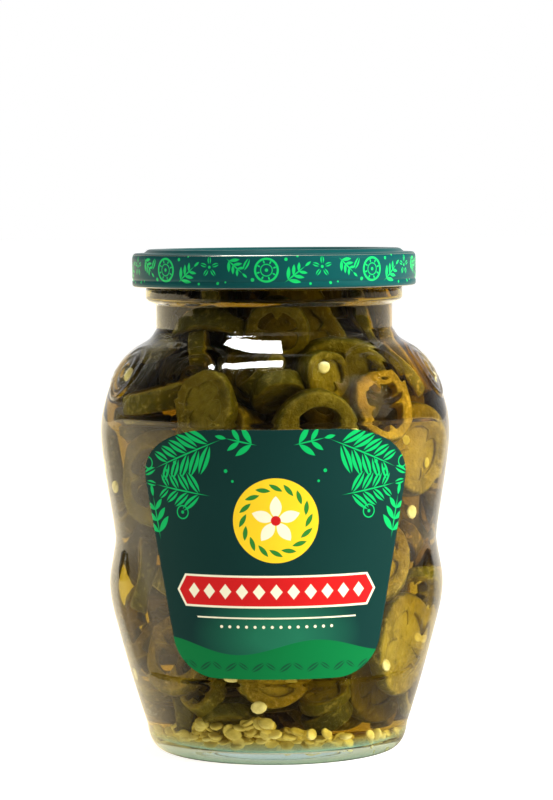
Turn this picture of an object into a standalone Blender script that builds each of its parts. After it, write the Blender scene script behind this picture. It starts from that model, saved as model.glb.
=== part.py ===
# A glass jar of pickled, sliced chilli pepper with a twist-off lid and a front label.
# Metres, +Z up. The origin is the centre of the circle that the jar stands on, and the label faces -Y.

import math

import bmesh
import bpy
import numpy as np
from mathutils import Matrix, Vector
from mathutils.bvhtree import BVHTree

# Driving dimensions of the jar
JAR_COLUMNS = 48
NECK_RADIUS = 0.0362
BORE_RADIUS = 0.0339
RIM_Z = 0.1493
WALL = 0.0026
FOOT_INNER, FOOT_OUTER = 0.0275, 0.0315  # the ring that the jar stands on
PUSH_UP = 0.0032  # how far the underside's middle stands off the table
HEEL_WIDTH, HEEL_HEIGHT = 0.0078, 0.0086
FLOOR_Z, FLOOR_RADIUS = 0.0062, 0.0280  # the inside of the base
INNER_HEEL_Z = 0.0145

# The body's side contour, (radius, height), from heel to neck: belly, grip waist, shoulder bulge
BODY_CONTOUR = [
    (0.0392, 0.0078), (0.0416, 0.0146), (0.0444, 0.0237), (0.0477, 0.0359), (0.0499, 0.0450),
    (0.0504, 0.0520), (0.0492, 0.0597), (0.0486, 0.0640), (0.0491, 0.0690), (0.0502, 0.0754),
    (0.0517, 0.0845), (0.0529, 0.0930), (0.0530, 0.0985), (0.0523, 0.1035), (0.0499, 0.1115),
    (0.0467, 0.1175), (0.0420, 0.1222), (0.0380, 0.1248), (0.0364, 0.1270),
]

# The label panel: a shallow cone let into the front and the back, straight from top to bottom
PANEL_TOP_Z, PANEL_TOP_RADIUS = 0.1025, 0.0520
PANEL_BOTTOM_Z, PANEL_BOTTOM_RADIUS = 0.0242, 0.0441
PANEL_EDGE = 0.0020  # height of the step at its top and bottom
PANEL_TOP_HALF, PANEL_BOTTOM_HALF = 0.0545, 0.0395  # half its width, in arc length
PANEL_CORNER_WIDTH, PANEL_CORNER_HEIGHT = 0.0150, 0.0060
PANEL_BLEND = 0.0120  # how far its sides take to run out into the body

# The label: a trapezoid with elliptical corners, in arc length and height
LABEL_TOP_Z, LABEL_BOTTOM_Z = 0.1003, 0.0268
LABEL_TOP_HALF, LABEL_BOTTOM_HALF = 0.0463, 0.0305
LABEL_TOP_CORNER = (0.0290, 0.0158)
LABEL_BOTTOM_CORNER = (0.0130, 0.0110)
LABEL_GAP, LABEL_THICKNESS = 0.0003, 0.0003

# The finish: neck, transfer bead, thread wall, rim, and the ridges that the lid's lugs run under
BEAD_BOTTOM_Z, BEAD_TOP_Z, BEAD_RADIUS = 0.1352, 0.1402, 0.0390
THREAD_WALL_RADIUS, RIDGE_RADIUS = 0.0382, 0.0397
LUG_COUNT = 6
THREAD_LEAD = 0.0120  # rise in one full turn
LUG_HALF_ANGLE = math.radians(6)
RIDGE_BEHIND, RIDGE_AHEAD = math.radians(8), math.radians(36)
RIDGE_HEIGHT = 0.0015
LUG_CLEARANCE = 0.00025

# The lid: a pressed steel cap with a rolled edge
LID_COLUMNS = 40
LID_RADIUS = 0.0430
LID_BOTTOM_Z, LID_SHOULDER_Z, LID_TOP_Z = 0.1406, 0.1507, 0.1519
LID_SHEET = 0.0004
CURL_INNER_RADIUS, CURL_HEIGHT = 0.0411, 0.0018
LUG_INNER_RADIUS, LUG_BOTTOM_Z, LUG_THICKNESS = 0.0389, 0.1408, 0.0008
LID_RING_OUTER, LID_RING_INNER = 0.0382, 0.0340  # the raised ring over the jar's rim
LID_PANEL_Z = 0.1509
BUTTON_RADIUS, BUTTON_HEIGHT = 0.0105, 0.0005

# The sealing ring inside the lid
LINER_INNER, LINER_OUTER = 0.0346, 0.0374
LINER_BOTTOM_Z, LINER_TOP_Z = 0.1496, 0.1512

# The contents
FIT_GAP = 0.0003  # between a piece and what it lies against
BRINE_BOTTOM_Z, BRINE_TOP_Z = 0.0118, 0.1430
SLICE_COUNT = 54
SLICE_SIDES = 10
SLICE_RADII, SLICE_THICKNESSES = (0.0120, 0.0160), (0.0060, 0.0085)
SLICE_LOWEST_Z, SLICE_HIGHEST_Z = 0.0110, 0.1410
FACING_SHARE = 0.45  # slices whose cut face looks out through the glass
INNER_SHARE = 0.34  # slices that lie away from the glass, behind the others
TRIES = 2400
SEED_COUNT = 18
SEED_HALF_LENGTH, SEED_HALF_WIDTH, SEED_HALF_THICKNESS = 0.0023, 0.0019, 0.0007
MOUND_INNER, MOUND_OUTER, MOUND_TOP_Z = 0.0130, 0.0325, 0.0090


def smooth_through(points, steps):
    """A Catmull-Rom curve through the points, as an array of `steps` points for each stretch."""
    pts = np.array(points)
    ends = np.vstack([2 * pts[0] - pts[1], pts, 2 * pts[-1] - pts[-2]])
    t = np.linspace(0, 1, steps, endpoint=False)[:, None]
    curve = []
    for a, b, c, d in zip(ends, ends[1:], ends[2:], ends[3:]):
        curve.append(0.5 * (2 * b + (c - a) * t + (2 * a - 5 * b + 4 * c - d) * t**2
                            + (3 * b - a - 3 * c + d) * t**3))
    return np.vstack(curve + [pts[-1:]])


CONTOUR = smooth_through(BODY_CONTOUR, 8)


def inset_contour(depth, narrowest):
    """The contour moved in along its own normals by `depth`, and no narrower than `narrowest`."""
    tangent = np.gradient(CONTOUR, axis=0)
    tangent /= np.linalg.norm(tangent, axis=1)[:, None]
    inside = CONTOUR + depth * np.column_stack([-tangent[:, 1], tangent[:, 0]])
    inside[:, 0] = np.maximum(inside[:, 0], narrowest)
    return inside


INNER_CONTOUR = inset_contour(WALL, BORE_RADIUS)
BRINE_CONTOUR = inset_contour(WALL + 2 * FIT_GAP, BORE_RADIUS - 2 * FIT_GAP)


def smoothstep(x):
    x = np.clip(x, 0, 1)
    return x * x * (3 - 2 * x)


def round_trapezoid(z, low, high, low_half, high_half, low_corner, high_corner):
    """Half the width at height z of a trapezoid whose corners are quarter-ellipses of (width, height)."""
    half = low_half + (z - low) / (high - low) * (high_half - low_half)
    for corner, beyond in ((low_corner, low - z), (high_corner, z - high)):
        into = np.clip(beyond / corner[1] + 1, 0, 1)
        half = half - corner[0] * (1 - np.sqrt(1 - into**2))
    return half


def label_half_width(z):
    return round_trapezoid(z, LABEL_BOTTOM_Z, LABEL_TOP_Z, LABEL_BOTTOM_HALF, LABEL_TOP_HALF,
                           LABEL_BOTTOM_CORNER, LABEL_TOP_CORNER)


def panel_half_width(z):
    corner = (PANEL_CORNER_WIDTH, PANEL_CORNER_HEIGHT)
    return round_trapezoid(np.clip(z, PANEL_BOTTOM_Z, PANEL_TOP_Z), PANEL_BOTTOM_Z, PANEL_TOP_Z,
                           PANEL_BOTTOM_HALF, PANEL_TOP_HALF, corner, corner)


def panel_radius(z):
    share = (z - PANEL_BOTTOM_Z) / (PANEL_TOP_Z - PANEL_BOTTOM_Z)
    return PANEL_BOTTOM_RADIUS + share * (PANEL_TOP_RADIUS - PANEL_BOTTOM_RADIUS)


def panel_depth(angle, z):
    """How far the front or back label panel is let in at this angle from +X and this height."""
    side = np.interp(z, CONTOUR[:, 1], CONTOUR[:, 0])
    from_middle = np.abs((angle + math.pi) % math.pi - math.pi / 2)
    across = (panel_half_width(z) + PANEL_BLEND - panel_radius(z) * from_middle) / PANEL_BLEND
    share = (smoothstep(across) * smoothstep((PANEL_TOP_Z - z) / PANEL_EDGE)
             * smoothstep((z - PANEL_BOTTOM_Z) / PANEL_EDGE))
    return share * np.maximum(side - panel_radius(z), 0)


def material(name, colour, roughness, metallic=0.0, alpha=1.0):
    made = bpy.data.materials.new(name)
    made.use_nodes = True
    shader = made.node_tree.nodes["Principled BSDF"]
    shader.inputs["Base Color"].default_value = (*colour, 1.0)
    shader.inputs["Roughness"].default_value = roughness
    shader.inputs["Metallic"].default_value = metallic
    shader.inputs["Alpha"].default_value = alpha
    made.diffuse_color = (*colour, alpha)
    return made


def add_object(name, bm, finish, smooth_below=math.radians(35)):
    """Turns a bmesh into a named object with outward normals."""
    bmesh.ops.recalc_face_normals(bm, faces=bm.faces)
    mesh = bpy.data.meshes.new(name)
    bm.to_mesh(mesh)
    bm.free()
    mesh.shade_smooth()
    mesh.set_sharp_from_angle(angle=smooth_below)
    mesh.materials.append(finish)
    obj = bpy.data.objects.new(name, mesh)
    bpy.context.scene.collection.objects.link(obj)
    return obj


def turned(profile, columns, depth=None):
    """A closed body turned about Z from a profile of (radius, height) points.

    A point of radius 0 is a pole. `depth` takes angles and heights, and gives what each point moves in by.
    A profile with no poles closes on itself as a ring. Every four-sided patch is split from its lower left
    to its upper right, so that two surfaces with the same rows stay the same distance apart.
    """
    bm = bmesh.new()
    angles = np.arange(columns) * 2 * math.pi / columns
    rows = []
    for radius, z in profile:
        if radius == 0:
            rows.append([bm.verts.new((0, 0, z))])
            continue
        reach = radius - (depth(angles, np.full(columns, z)) if depth else 0)
        x, y = reach * np.cos(angles), reach * np.sin(angles)
        rows.append([bm.verts.new((x[i], y[i], z)) for i in range(columns)])
    pairs = list(zip(rows, rows[1:]))
    if len(rows[0]) > 1 and len(rows[-1]) > 1:
        pairs.append((rows[-1], rows[0]))
    for low, high in pairs:
        for i in range(columns):
            j = (i + 1) % columns
            if len(low) == 1:
                bm.faces.new((low[0], high[i], high[j]))
            elif len(high) == 1:
                bm.faces.new((low[j], low[i], high[0]))
            elif low[i].co.z <= high[i].co.z:
                bm.faces.new((low[i], low[j], high[j]))
                bm.faces.new((low[i], high[j], high[i]))
            else:
                bm.faces.new((low[i], low[j], high[i]))
                bm.faces.new((low[j], high[j], high[i]))
    return bm


def arc_block(start, end, inner, outer, bottom_at, height, steps):
    """A curved bar about Z between two angles. `bottom_at` gives its underside's height at an angle."""
    bm = bmesh.new()
    rings = []
    for angle in np.linspace(start, end, steps + 1):
        low = bottom_at(angle)
        corners = [(inner, low), (outer, low), (outer, low + height), (inner, low + height)]
        rings.append([bm.verts.new((r * math.cos(angle), r * math.sin(angle), z)) for r, z in corners])
    for one, two in zip(rings, rings[1:]):
        for i in range(4):
            j = (i + 1) % 4
            bm.faces.new((one[i], one[j], two[j], two[i]))
    bm.faces.new(rings[0])
    bm.faces.new(rings[-1][::-1])
    return bm


def boolean_with(obj, helpers, operation, solver="EXACT"):
    """Joins the helper objects to obj, or cuts them from it, in one applied Boolean, and removes them."""
    group = bpy.data.collections.new("helpers")
    bpy.context.scene.collection.children.link(group)
    for helper in helpers:
        bpy.context.scene.collection.objects.unlink(helper)
        group.objects.link(helper)
        helper.hide_render = True
        helper.display_type = "WIRE"
    cut = obj.modifiers.new("boolean", "BOOLEAN")
    cut.operation = operation
    cut.operand_type = "COLLECTION"
    cut.collection = group
    cut.solver = solver
    bpy.context.view_layer.update()
    result = bpy.data.meshes.new_from_object(obj.evaluated_get(bpy.context.evaluated_depsgraph_get()))
    obj.modifiers.clear()
    obj.data = result
    for helper in helpers:
        bpy.data.objects.remove(helper)
    bpy.data.collections.remove(group)


def keep_largest_body(obj):
    """Drops the loose scraps that a cut leaves."""
    bm = bmesh.new()
    bm.from_mesh(obj.data)
    left, bodies = set(bm.verts), []
    while left:
        body, edge = set(), [left.pop()]
        while edge:
            vert = edge.pop()
            body.add(vert)
            near = {e.other_vert(vert) for e in vert.link_edges} & left
            left -= near
            edge.extend(near)
        bodies.append(body)
    main = max(bodies, key=len)
    bmesh.ops.delete(bm, geom=[v for b in bodies if b is not main for v in b], context="VERTS")
    bm.to_mesh(obj.data)
    bm.free()


def heel(foot, width, height, low, steps, turn=math.pi / 2):
    """A quarter-ellipse from (foot, low) out and up, without its first point."""
    angles = np.linspace(0, turn, steps + 1)[1:]
    return [(foot + width * math.sin(t), low + height * (1 - math.cos(t))) for t in angles]


def outside_heights():
    """Heights of the jar's outer rows. The panel's edges are among them, so the label clears the glass."""
    lower = [0.0105, 0.0150, PANEL_BOTTOM_Z, PANEL_BOTTOM_Z + PANEL_EDGE]
    panel = list(np.linspace(0.0322, 0.0955, 10))
    upper = [PANEL_TOP_Z - PANEL_EDGE, PANEL_TOP_Z, 0.1075, 0.1118, 0.1155, 0.1190, 0.1220, 0.1245, 0.1268]
    return lower + panel + upper


def inside_heights():
    """Heights of the rows that the inside of the glass and the brine share, from the bottom up."""
    return [0.0190, PANEL_BOTTOM_Z + PANEL_EDGE, *np.linspace(0.0400, 0.0900, 5),
            PANEL_TOP_Z - PANEL_EDGE, PANEL_TOP_Z, 0.1115, 0.1170, 0.1210, 0.1240]


def cavity_rows():
    """The inside of the glass from the edge of its floor to the bore, as (radius, height) rows."""
    def inner(z):
        return float(np.interp(z, INNER_CONTOUR[:, 1], INNER_CONTOUR[:, 0]))

    width, height = inner(INNER_HEEL_Z) - FLOOR_RADIUS, INNER_HEEL_Z - FLOOR_Z
    return ([(FLOOR_RADIUS, FLOOR_Z)] + heel(FLOOR_RADIUS, width, height, FLOOR_Z, 4)
            + [(inner(z), z) for z in inside_heights()] + [(BORE_RADIUS, 0.1262), (BORE_RADIUS, 0.1290)])


def make_jar(glass):
    def contour(z):
        return float(np.interp(z, CONTOUR[:, 1], CONTOUR[:, 0]))

    base = [(0, PUSH_UP), (0.020, PUSH_UP * 0.9), (FOOT_INNER - 0.0012, 0.0010), (FOOT_INNER, 0),
            (FOOT_OUTER, 0)]
    outside = heel(FOOT_OUTER, HEEL_WIDTH, HEEL_HEIGHT, 0, 4, math.radians(80))
    outside += [(contour(z), z) for z in outside_heights()]
    finish = [
        (NECK_RADIUS, 0.1285), (NECK_RADIUS, BEAD_BOTTOM_Z), (BEAD_RADIUS - 0.0012, BEAD_BOTTOM_Z + 0.0012),
        (BEAD_RADIUS, BEAD_BOTTOM_Z + 0.0030), (BEAD_RADIUS, BEAD_TOP_Z - 0.0004),
        (THREAD_WALL_RADIUS, BEAD_TOP_Z), (THREAD_WALL_RADIUS, RIM_Z - 0.0012),
        (THREAD_WALL_RADIUS - 0.0010, RIM_Z), (BORE_RADIUS + 0.0010, RIM_Z), (BORE_RADIUS, RIM_Z - 0.0010),
    ]
    floor = [(0.015, FLOOR_Z + 0.0006), (0, FLOOR_Z + 0.0008)]
    profile = base + outside + finish + cavity_rows()[::-1] + floor
    jar = add_object("jar_glass", turned(profile, JAR_COLUMNS, panel_depth), glass)

    def underside(lug):
        lowest = LUG_BOTTOM_Z + LUG_THICKNESS + LUG_CLEARANCE
        return lambda angle: lowest + THREAD_LEAD * (angle - lug + LUG_HALF_ANGLE) / (2 * math.pi)

    ridges = []
    for i in range(LUG_COUNT):
        lug = i * 2 * math.pi / LUG_COUNT
        block = arc_block(lug - RIDGE_BEHIND, lug + RIDGE_AHEAD, THREAD_WALL_RADIUS - 0.0008, RIDGE_RADIUS,
                          underside(lug), RIDGE_HEIGHT, 6)
        ridges.append(add_object(f"ridge_{i}", block, glass))
    boolean_with(jar, ridges, "UNION")
    return jar


def make_lid(steel):
    outer = [
        (0, LID_PANEL_Z + BUTTON_HEIGHT), (BUTTON_RADIUS - 0.0015, LID_PANEL_Z + BUTTON_HEIGHT),
        (BUTTON_RADIUS, LID_PANEL_Z), (LID_RING_INNER - 0.0012, LID_PANEL_Z),
        (LID_RING_INNER, LID_TOP_Z - 0.0002), (LID_RING_INNER + 0.0006, LID_TOP_Z),
        (LID_RING_OUTER - 0.0006, LID_TOP_Z), (LID_RING_OUTER, LID_TOP_Z - 0.0002),
        (LID_RING_OUTER + 0.0014, LID_SHOULDER_Z + 0.0001), (LID_RADIUS - 0.0013, LID_SHOULDER_Z),
        (LID_RADIUS - 0.0004, LID_SHOULDER_Z - 0.0005), (LID_RADIUS, LID_SHOULDER_Z - 0.0015),
    ]
    curl = [
        (LID_RADIUS, LID_BOTTOM_Z + 0.0006), (LID_RADIUS - 0.0005, LID_BOTTOM_Z),
        (CURL_INNER_RADIUS + 0.0005, LID_BOTTOM_Z), (CURL_INNER_RADIUS, LID_BOTTOM_Z + 0.0005),
        (CURL_INNER_RADIUS, LID_BOTTOM_Z + CURL_HEIGHT - 0.0005),
        (CURL_INNER_RADIUS + 0.0005, LID_BOTTOM_Z + CURL_HEIGHT),
        (LID_RADIUS - LID_SHEET, LID_BOTTOM_Z + CURL_HEIGHT + 0.0002),
    ]
    inner = [(max(r - LID_SHEET, 0) if r > LID_RING_OUTER else r, z - LID_SHEET) for r, z in outer[::-1]]
    lid = add_object("lid", turned(outer + curl + inner, LID_COLUMNS), steel)
    lugs = []
    for i in range(LUG_COUNT):
        middle = i * 2 * math.pi / LUG_COUNT
        block = arc_block(middle - LUG_HALF_ANGLE, middle + LUG_HALF_ANGLE, LUG_INNER_RADIUS,
                          CURL_INNER_RADIUS + 0.0006, lambda angle: LUG_BOTTOM_Z, LUG_THICKNESS, 2)
        lugs.append(add_object(f"lug_{i}", block, steel))
    boolean_with(lid, lugs, "UNION")
    return lid


def make_liner(compound):
    ring = [(LINER_INNER, LINER_BOTTOM_Z), (LINER_OUTER, LINER_BOTTOM_Z), (LINER_OUTER, LINER_TOP_Z),
            (LINER_INNER, LINER_TOP_Z)]
    return add_object("lid_liner", turned(ring, LID_COLUMNS), compound)


def make_label(paper):
    """A sheet on the panel's cone: rows crowd towards the rounded corners, and each row fits the outline.

    Each patch is split along its shorter diagonal, which keeps the sheet close to the cone.
    """
    across, high = 14, 12
    bm = bmesh.new()
    sheets = []
    for lift in (LABEL_GAP, LABEL_GAP + LABEL_THICKNESS):
        rows = []
        for v in np.linspace(0, math.pi, high + 1):
            z = LABEL_BOTTOM_Z + (LABEL_TOP_Z - LABEL_BOTTOM_Z) * (1 - math.cos(v)) / 2
            radius = float(panel_radius(z)) + lift
            turn = np.linspace(-1, 1, across + 1) * float(label_half_width(z)) / float(panel_radius(z))
            rows.append([bm.verts.new((radius * math.sin(a), -radius * math.cos(a), z)) for a in turn])
        sheets.append(rows)
    back, front = sheets
    for rows in sheets:
        for low, up in zip(rows, rows[1:]):
            for i in range(across):
                a, b, c, d = low[i], low[i + 1], up[i + 1], up[i]
                if (a.co - c.co).length > (b.co - d.co).length:
                    a, b, c, d = b, c, d, a
                bm.faces.new((a, b, c))
                bm.faces.new((a, c, d))
    rims = [(back[0], front[0]), (back[-1], front[-1]),
            ([r[0] for r in back], [r[0] for r in front]), ([r[-1] for r in back], [r[-1] for r in front])]
    for one, two in rims:
        for i in range(len(one) - 1):
            bm.faces.new((one[i], one[i + 1], two[i + 1], two[i]))
    return add_object("label", bm, paper)


def cavity_grid():
    """The inside of the glass as heights of rows, and a radius for each row and column."""
    rows = np.array(cavity_rows())
    angles, heights = np.meshgrid(np.arange(JAR_COLUMNS + 1) * 2 * math.pi / JAR_COLUMNS, rows[:, 1])
    return rows[:, 1], rows[:, :1] - panel_depth(angles, heights)


CAVITY_HEIGHTS, CAVITY_RADII = cavity_grid()


def cavity_radius(angle, z):
    """The radius of the inside of the glass at an angle and height, between rows and columns."""
    across = (angle % (2 * math.pi)) * JAR_COLUMNS / (2 * math.pi)
    i = np.clip(across.astype(int), 0, JAR_COLUMNS - 1)
    j = np.clip(np.searchsorted(CAVITY_HEIGHTS, z) - 1, 0, len(CAVITY_HEIGHTS) - 2)
    t = across - i
    u = np.clip((z - CAVITY_HEIGHTS[j]) / (CAVITY_HEIGHTS[j + 1] - CAVITY_HEIGHTS[j]), 0, 1)
    low = CAVITY_RADII[j, i] * (1 - t) + CAVITY_RADII[j, i + 1] * t
    high = CAVITY_RADII[j + 1, i] * (1 - t) + CAVITY_RADII[j + 1, i + 1] * t
    return (low * (1 - u) + high * u) * math.cos(math.pi / JAR_COLUMNS)


def disc_points(radius, thickness):
    """Points on both faces of a slice, in its own frame, for fitting it to the wall."""
    turn = np.arange(20) * math.pi / 10
    ring = np.column_stack([radius * np.cos(turn), radius * np.sin(turn), np.full(20, thickness / 2)])
    return np.vstack([ring * (share, share, up) for share in (1, 0.6) for up in (1, -1)])


def ring_balls(radius, thickness):
    """Centres and radius of balls that fill a slice's wall, in its own frame, for a first quick test."""
    ball = thickness / 2
    turn = np.arange(14) * math.pi / 7
    reach = radius - ball
    return np.column_stack([reach * np.cos(turn), reach * np.sin(turn), np.zeros(14)]), ball


def random_turns(rng, count, facing):
    """Rotations whose Z axis is a slice's axis. Facing slices look outwards, others lie at any angle."""
    axis = rng.normal(size=(count, 3))
    axis /= np.linalg.norm(axis, axis=1)[:, None]
    if facing:
        axis = axis * 0.42 + (1, 0, 0)
        axis /= np.linalg.norm(axis, axis=1)[:, None]
    side = np.cross(axis, (0.31, 0.12, 0.94))
    side /= np.linalg.norm(side, axis=1)[:, None]
    spin = rng.uniform(0, 2 * math.pi, count)[:, None]
    x = side * np.cos(spin) + np.cross(axis, side) * np.sin(spin)
    return np.stack([x, np.cross(axis, x), axis], axis=2)


def candidates(rng, radius, thickness, facing, inner):
    """Many tried places for one slice, against the glass or behind, as rotations, centres and which fit."""
    turns = random_turns(rng, TRIES, facing)
    bearing = rng.uniform(0, 2 * math.pi, TRIES)
    height = rng.uniform(SLICE_LOWEST_Z + thickness / 2, SLICE_HIGHEST_Z - thickness / 2, TRIES)
    cos, sin, zero = np.cos(bearing), np.sin(bearing), np.zeros(TRIES)
    outward, along = np.column_stack([cos, sin, zero]), np.column_stack([-sin, cos, zero])
    about_z = np.stack([outward, along, np.tile((0, 0, 1.0), (TRIES, 1))], axis=2)
    turns = about_z @ turns
    rim = np.einsum("nij,pj->npi", turns, disc_points(radius, thickness))
    low, high = np.zeros(TRIES), np.full(TRIES, 0.050)
    for _ in range(12):
        middle = (low + high) / 2
        where = rim + (outward * middle[:, None] + height[:, None] * (0, 0, 1))[:, None]
        room = cavity_radius(np.arctan2(where[..., 1], where[..., 0]), where[..., 2])
        clear = (room - np.hypot(where[..., 0], where[..., 1])).min(axis=1) > FIT_GAP * 1.2
        low, high = np.where(clear, middle, low), np.where(clear, high, middle)
    reach = low * np.sqrt(rng.uniform(0, 0.6, TRIES)) if inner else low
    centres = outward * reach[:, None] + height[:, None] * (0, 0, 1)
    ends = rim[..., 2] + centres[:, None, 2]
    fits = (ends.min(axis=1) > SLICE_LOWEST_Z) & (ends.max(axis=1) < SLICE_HIGHEST_Z) & (low > 0.002)
    return turns, centres, fits


def grown_ring(radius, thickness, lobes, turn, centre):
    """A slice's surface in its place, grown by half the gap that two slices keep, for the exact test."""
    points, faces = ring_surface(radius + FIT_GAP / 2, thickness + FIT_GAP, lobes)
    points[:, :2] *= 1 - (np.hypot(points[:, :1], points[:, 1:2]) < radius * 0.8) * FIT_GAP / radius
    return BVHTree.FromPolygons((points @ turn.T + centre).tolist(), faces)


def place_slices():
    """Settles slices one by one: each takes the lowest free place of many tried ones."""
    rng = np.random.default_rng(11)
    placed, trees, balls, sizes = [], [], np.zeros((0, 3)), np.zeros(0)
    for index in range(SLICE_COUNT):
        radius, thickness = rng.uniform(*SLICE_RADII), rng.uniform(*SLICE_THICKNESSES)
        facing, inner = rng.uniform() < FACING_SHARE, rng.uniform() < INNER_SHARE
        turns, centres, free = candidates(rng, radius, thickness, facing and not inner, inner)
        own, ball = ring_balls(radius, thickness)
        spots = np.einsum("nij,pj->npi", turns, own) + centres[:, None]
        for spot, size in zip(balls, sizes):
            free &= np.linalg.norm(spots - spot, axis=2).min(axis=1) > ball + size
        lobes = 3 + len(placed) % 2
        for pick in np.argsort(np.where(free, centres[:, 2], np.inf))[:min(40, int(free.sum()))]:
            tree = grown_ring(radius, thickness, lobes, turns[pick], centres[pick])
            if not any(tree.overlap(other) for other in trees):
                placed.append((radius, thickness, lobes, turns[pick], centres[pick]))
                trees.append(tree)
                balls, sizes = np.vstack([balls, spots[pick]]), np.append(sizes, np.full(len(own), ball))
                break
    return placed


def ring_surface(radius, thickness, lobes):
    """Corners and faces of a ring of pepper wall, with stubs of the dividing ribs inside."""
    points = []
    for i in range(SLICE_SIDES):
        turn = i * 2 * math.pi / SLICE_SIDES
        rib = i in [round(lobe * SLICE_SIDES / lobes) for lobe in range(lobes)]
        outer = radius * (0.965 if rib else 1)
        inner = radius * (0.36 if rib else 0.66)
        section = [(outer, thickness / 2), (outer, -thickness / 2),
                   (inner, -thickness / 2 * 0.86), (inner, thickness / 2 * 0.86)]
        points += [(r * math.cos(turn), r * math.sin(turn), z) for r, z in section]
    faces = []
    for i in range(SLICE_SIDES):
        here, after = i * 4, (i + 1) % SLICE_SIDES * 4
        for a in range(4):
            b = (a + 1) % 4
            faces.append((here + a, here + b, after + b, after + a))
    return np.array(points), faces


def slice_mesh(radius, thickness, lobes):
    bm = bmesh.new()
    points, faces = ring_surface(radius, thickness, lobes)
    corners = [bm.verts.new(point) for point in points]
    for face in faces:
        bm.faces.new([corners[i] for i in face])
    return bm


def disc_mesh(radius, thickness):
    """The plain pocket that a slice takes up in the brine, with its corners in line with the slice's."""
    bm = bmesh.new()
    turns = [i * 2 * math.pi / SLICE_SIDES for i in range(SLICE_SIDES)]
    low, high = [[bm.verts.new((radius * math.cos(t), radius * math.sin(t), z)) for t in turns]
                 for z in (-thickness / 2, thickness / 2)]
    bm.faces.new(low[::-1])
    bm.faces.new(high)
    for i in range(SLICE_SIDES):
        j = (i + 1) % SLICE_SIDES
        bm.faces.new((low[i], low[j], high[j], high[i]))
    return bm


def put(obj, turn, centre):
    """Moves an object's mesh to its place."""
    obj.data.transform(Matrix.Translation(Vector(centre)) @ Matrix(turn.tolist()).to_4x4())


def seed_mesh():
    """A flat oval seed with six sides."""
    bm = bmesh.new()
    bmesh.ops.create_cone(bm, cap_ends=True, segments=6, radius1=1, radius2=0.8, depth=2)
    bmesh.ops.scale(bm, verts=bm.verts, vec=(SEED_HALF_LENGTH, SEED_HALF_WIDTH, SEED_HALF_THICKNESS))
    return bm


def make_seeds(pale):
    """A low ring of settled seeds on the jar's floor: a core with seeds standing out of it."""
    low = FLOOR_Z + 0.0008 + FIT_GAP
    ring = [(MOUND_INNER, low), (MOUND_OUTER - 0.0035, low + 0.0001), (MOUND_OUTER, low + 0.0012),
            (MOUND_OUTER - 0.0025, MOUND_TOP_Z - 0.0006), (MOUND_OUTER - 0.0075, MOUND_TOP_Z),
            (MOUND_INNER + 0.0030, MOUND_TOP_Z - 0.0006)]
    bed = add_object("seeds", turned(ring, 24), pale)
    rng = np.random.default_rng(5)
    seeds = []
    for i in range(SEED_COUNT):
        bearing = (i + rng.uniform(-0.3, 0.3)) * 2 * math.pi * 0.618
        reach = MOUND_INNER + 0.004 + (MOUND_OUTER - MOUND_INNER - 0.0080) * ((i * 0.37) % 1)
        spin, lean = rng.uniform(0, math.pi), rng.uniform(0.3, 1.1)
        tilt = Matrix.Rotation(spin, 3, "Z") @ Matrix.Rotation(lean, 3, "X")
        seed = add_object(f"seed_{i}", seed_mesh(), pale)
        place = (reach * math.cos(bearing), reach * math.sin(bearing), MOUND_TOP_Z - 0.0002)
        put(seed, np.array(tilt), place)
        seeds.append(seed)
    boolean_with(bed, seeds, "UNION")
    keep_largest_body(bed)
    return bed


def make_contents(flesh, pale, liquid):
    """The seeds, the slices, and the brine round them with a plain pocket for each."""
    make_seeds(pale)
    pockets = []
    for i, (radius, thickness, lobes, turn, centre) in enumerate(place_slices()):
        ring = add_object(f"slice_{i + 1:02d}", slice_mesh(radius, thickness, lobes), flesh)
        put(ring, turn, centre)
        grown = disc_mesh(radius + 2 * FIT_GAP, thickness + 2 * FIT_GAP)
        pocket = add_object(f"pocket_{i}", grown, liquid)
        put(pocket, turn, centre)
        pockets.append(pocket)
    wall = [(float(np.interp(z, BRINE_CONTOUR[:, 1], BRINE_CONTOUR[:, 0])), z) for z in inside_heights()]
    neck = BORE_RADIUS - 2 * FIT_GAP
    foot = [(0, BRINE_BOTTOM_Z), (wall[0][0] - 0.0060, BRINE_BOTTOM_Z), (wall[0][0] - 0.0018, 0.0145)]
    profile = foot + wall + [(neck, 0.1262), (neck, BRINE_TOP_Z), (0, BRINE_TOP_Z)]
    brine = add_object("brine", turned(profile, JAR_COLUMNS, panel_depth), liquid)
    boolean_with(brine, pockets, "DIFFERENCE", "MANIFOLD")
    keep_largest_body(brine)


def main():
    for obj in list(bpy.data.objects):
        bpy.data.objects.remove(obj)
    glass = material("clear_glass", (0.86, 0.92, 0.88), 0.05, alpha=0.35)
    steel = material("green_printed_steel", (0.01, 0.13, 0.13), 0.25, metallic=0.0)
    compound = material("sealing_compound", (0.85, 0.85, 0.80), 0.5)
    paper = material("green_label_paper", (0.02, 0.10, 0.08), 0.45)
    flesh = material("pickled_pepper", (0.33, 0.30, 0.04), 0.35)
    pale = material("pepper_seed", (0.80, 0.70, 0.32), 0.5)
    liquid = material("brine", (0.55, 0.47, 0.12), 0.05, alpha=0.35)
    make_jar(glass)
    make_lid(steel)
    make_liner(compound)
    make_label(paper)
    make_contents(flesh, pale, liquid)


main()
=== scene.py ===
import math

import bpy
import numpy as np
from mathutils import Matrix, Vector


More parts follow.
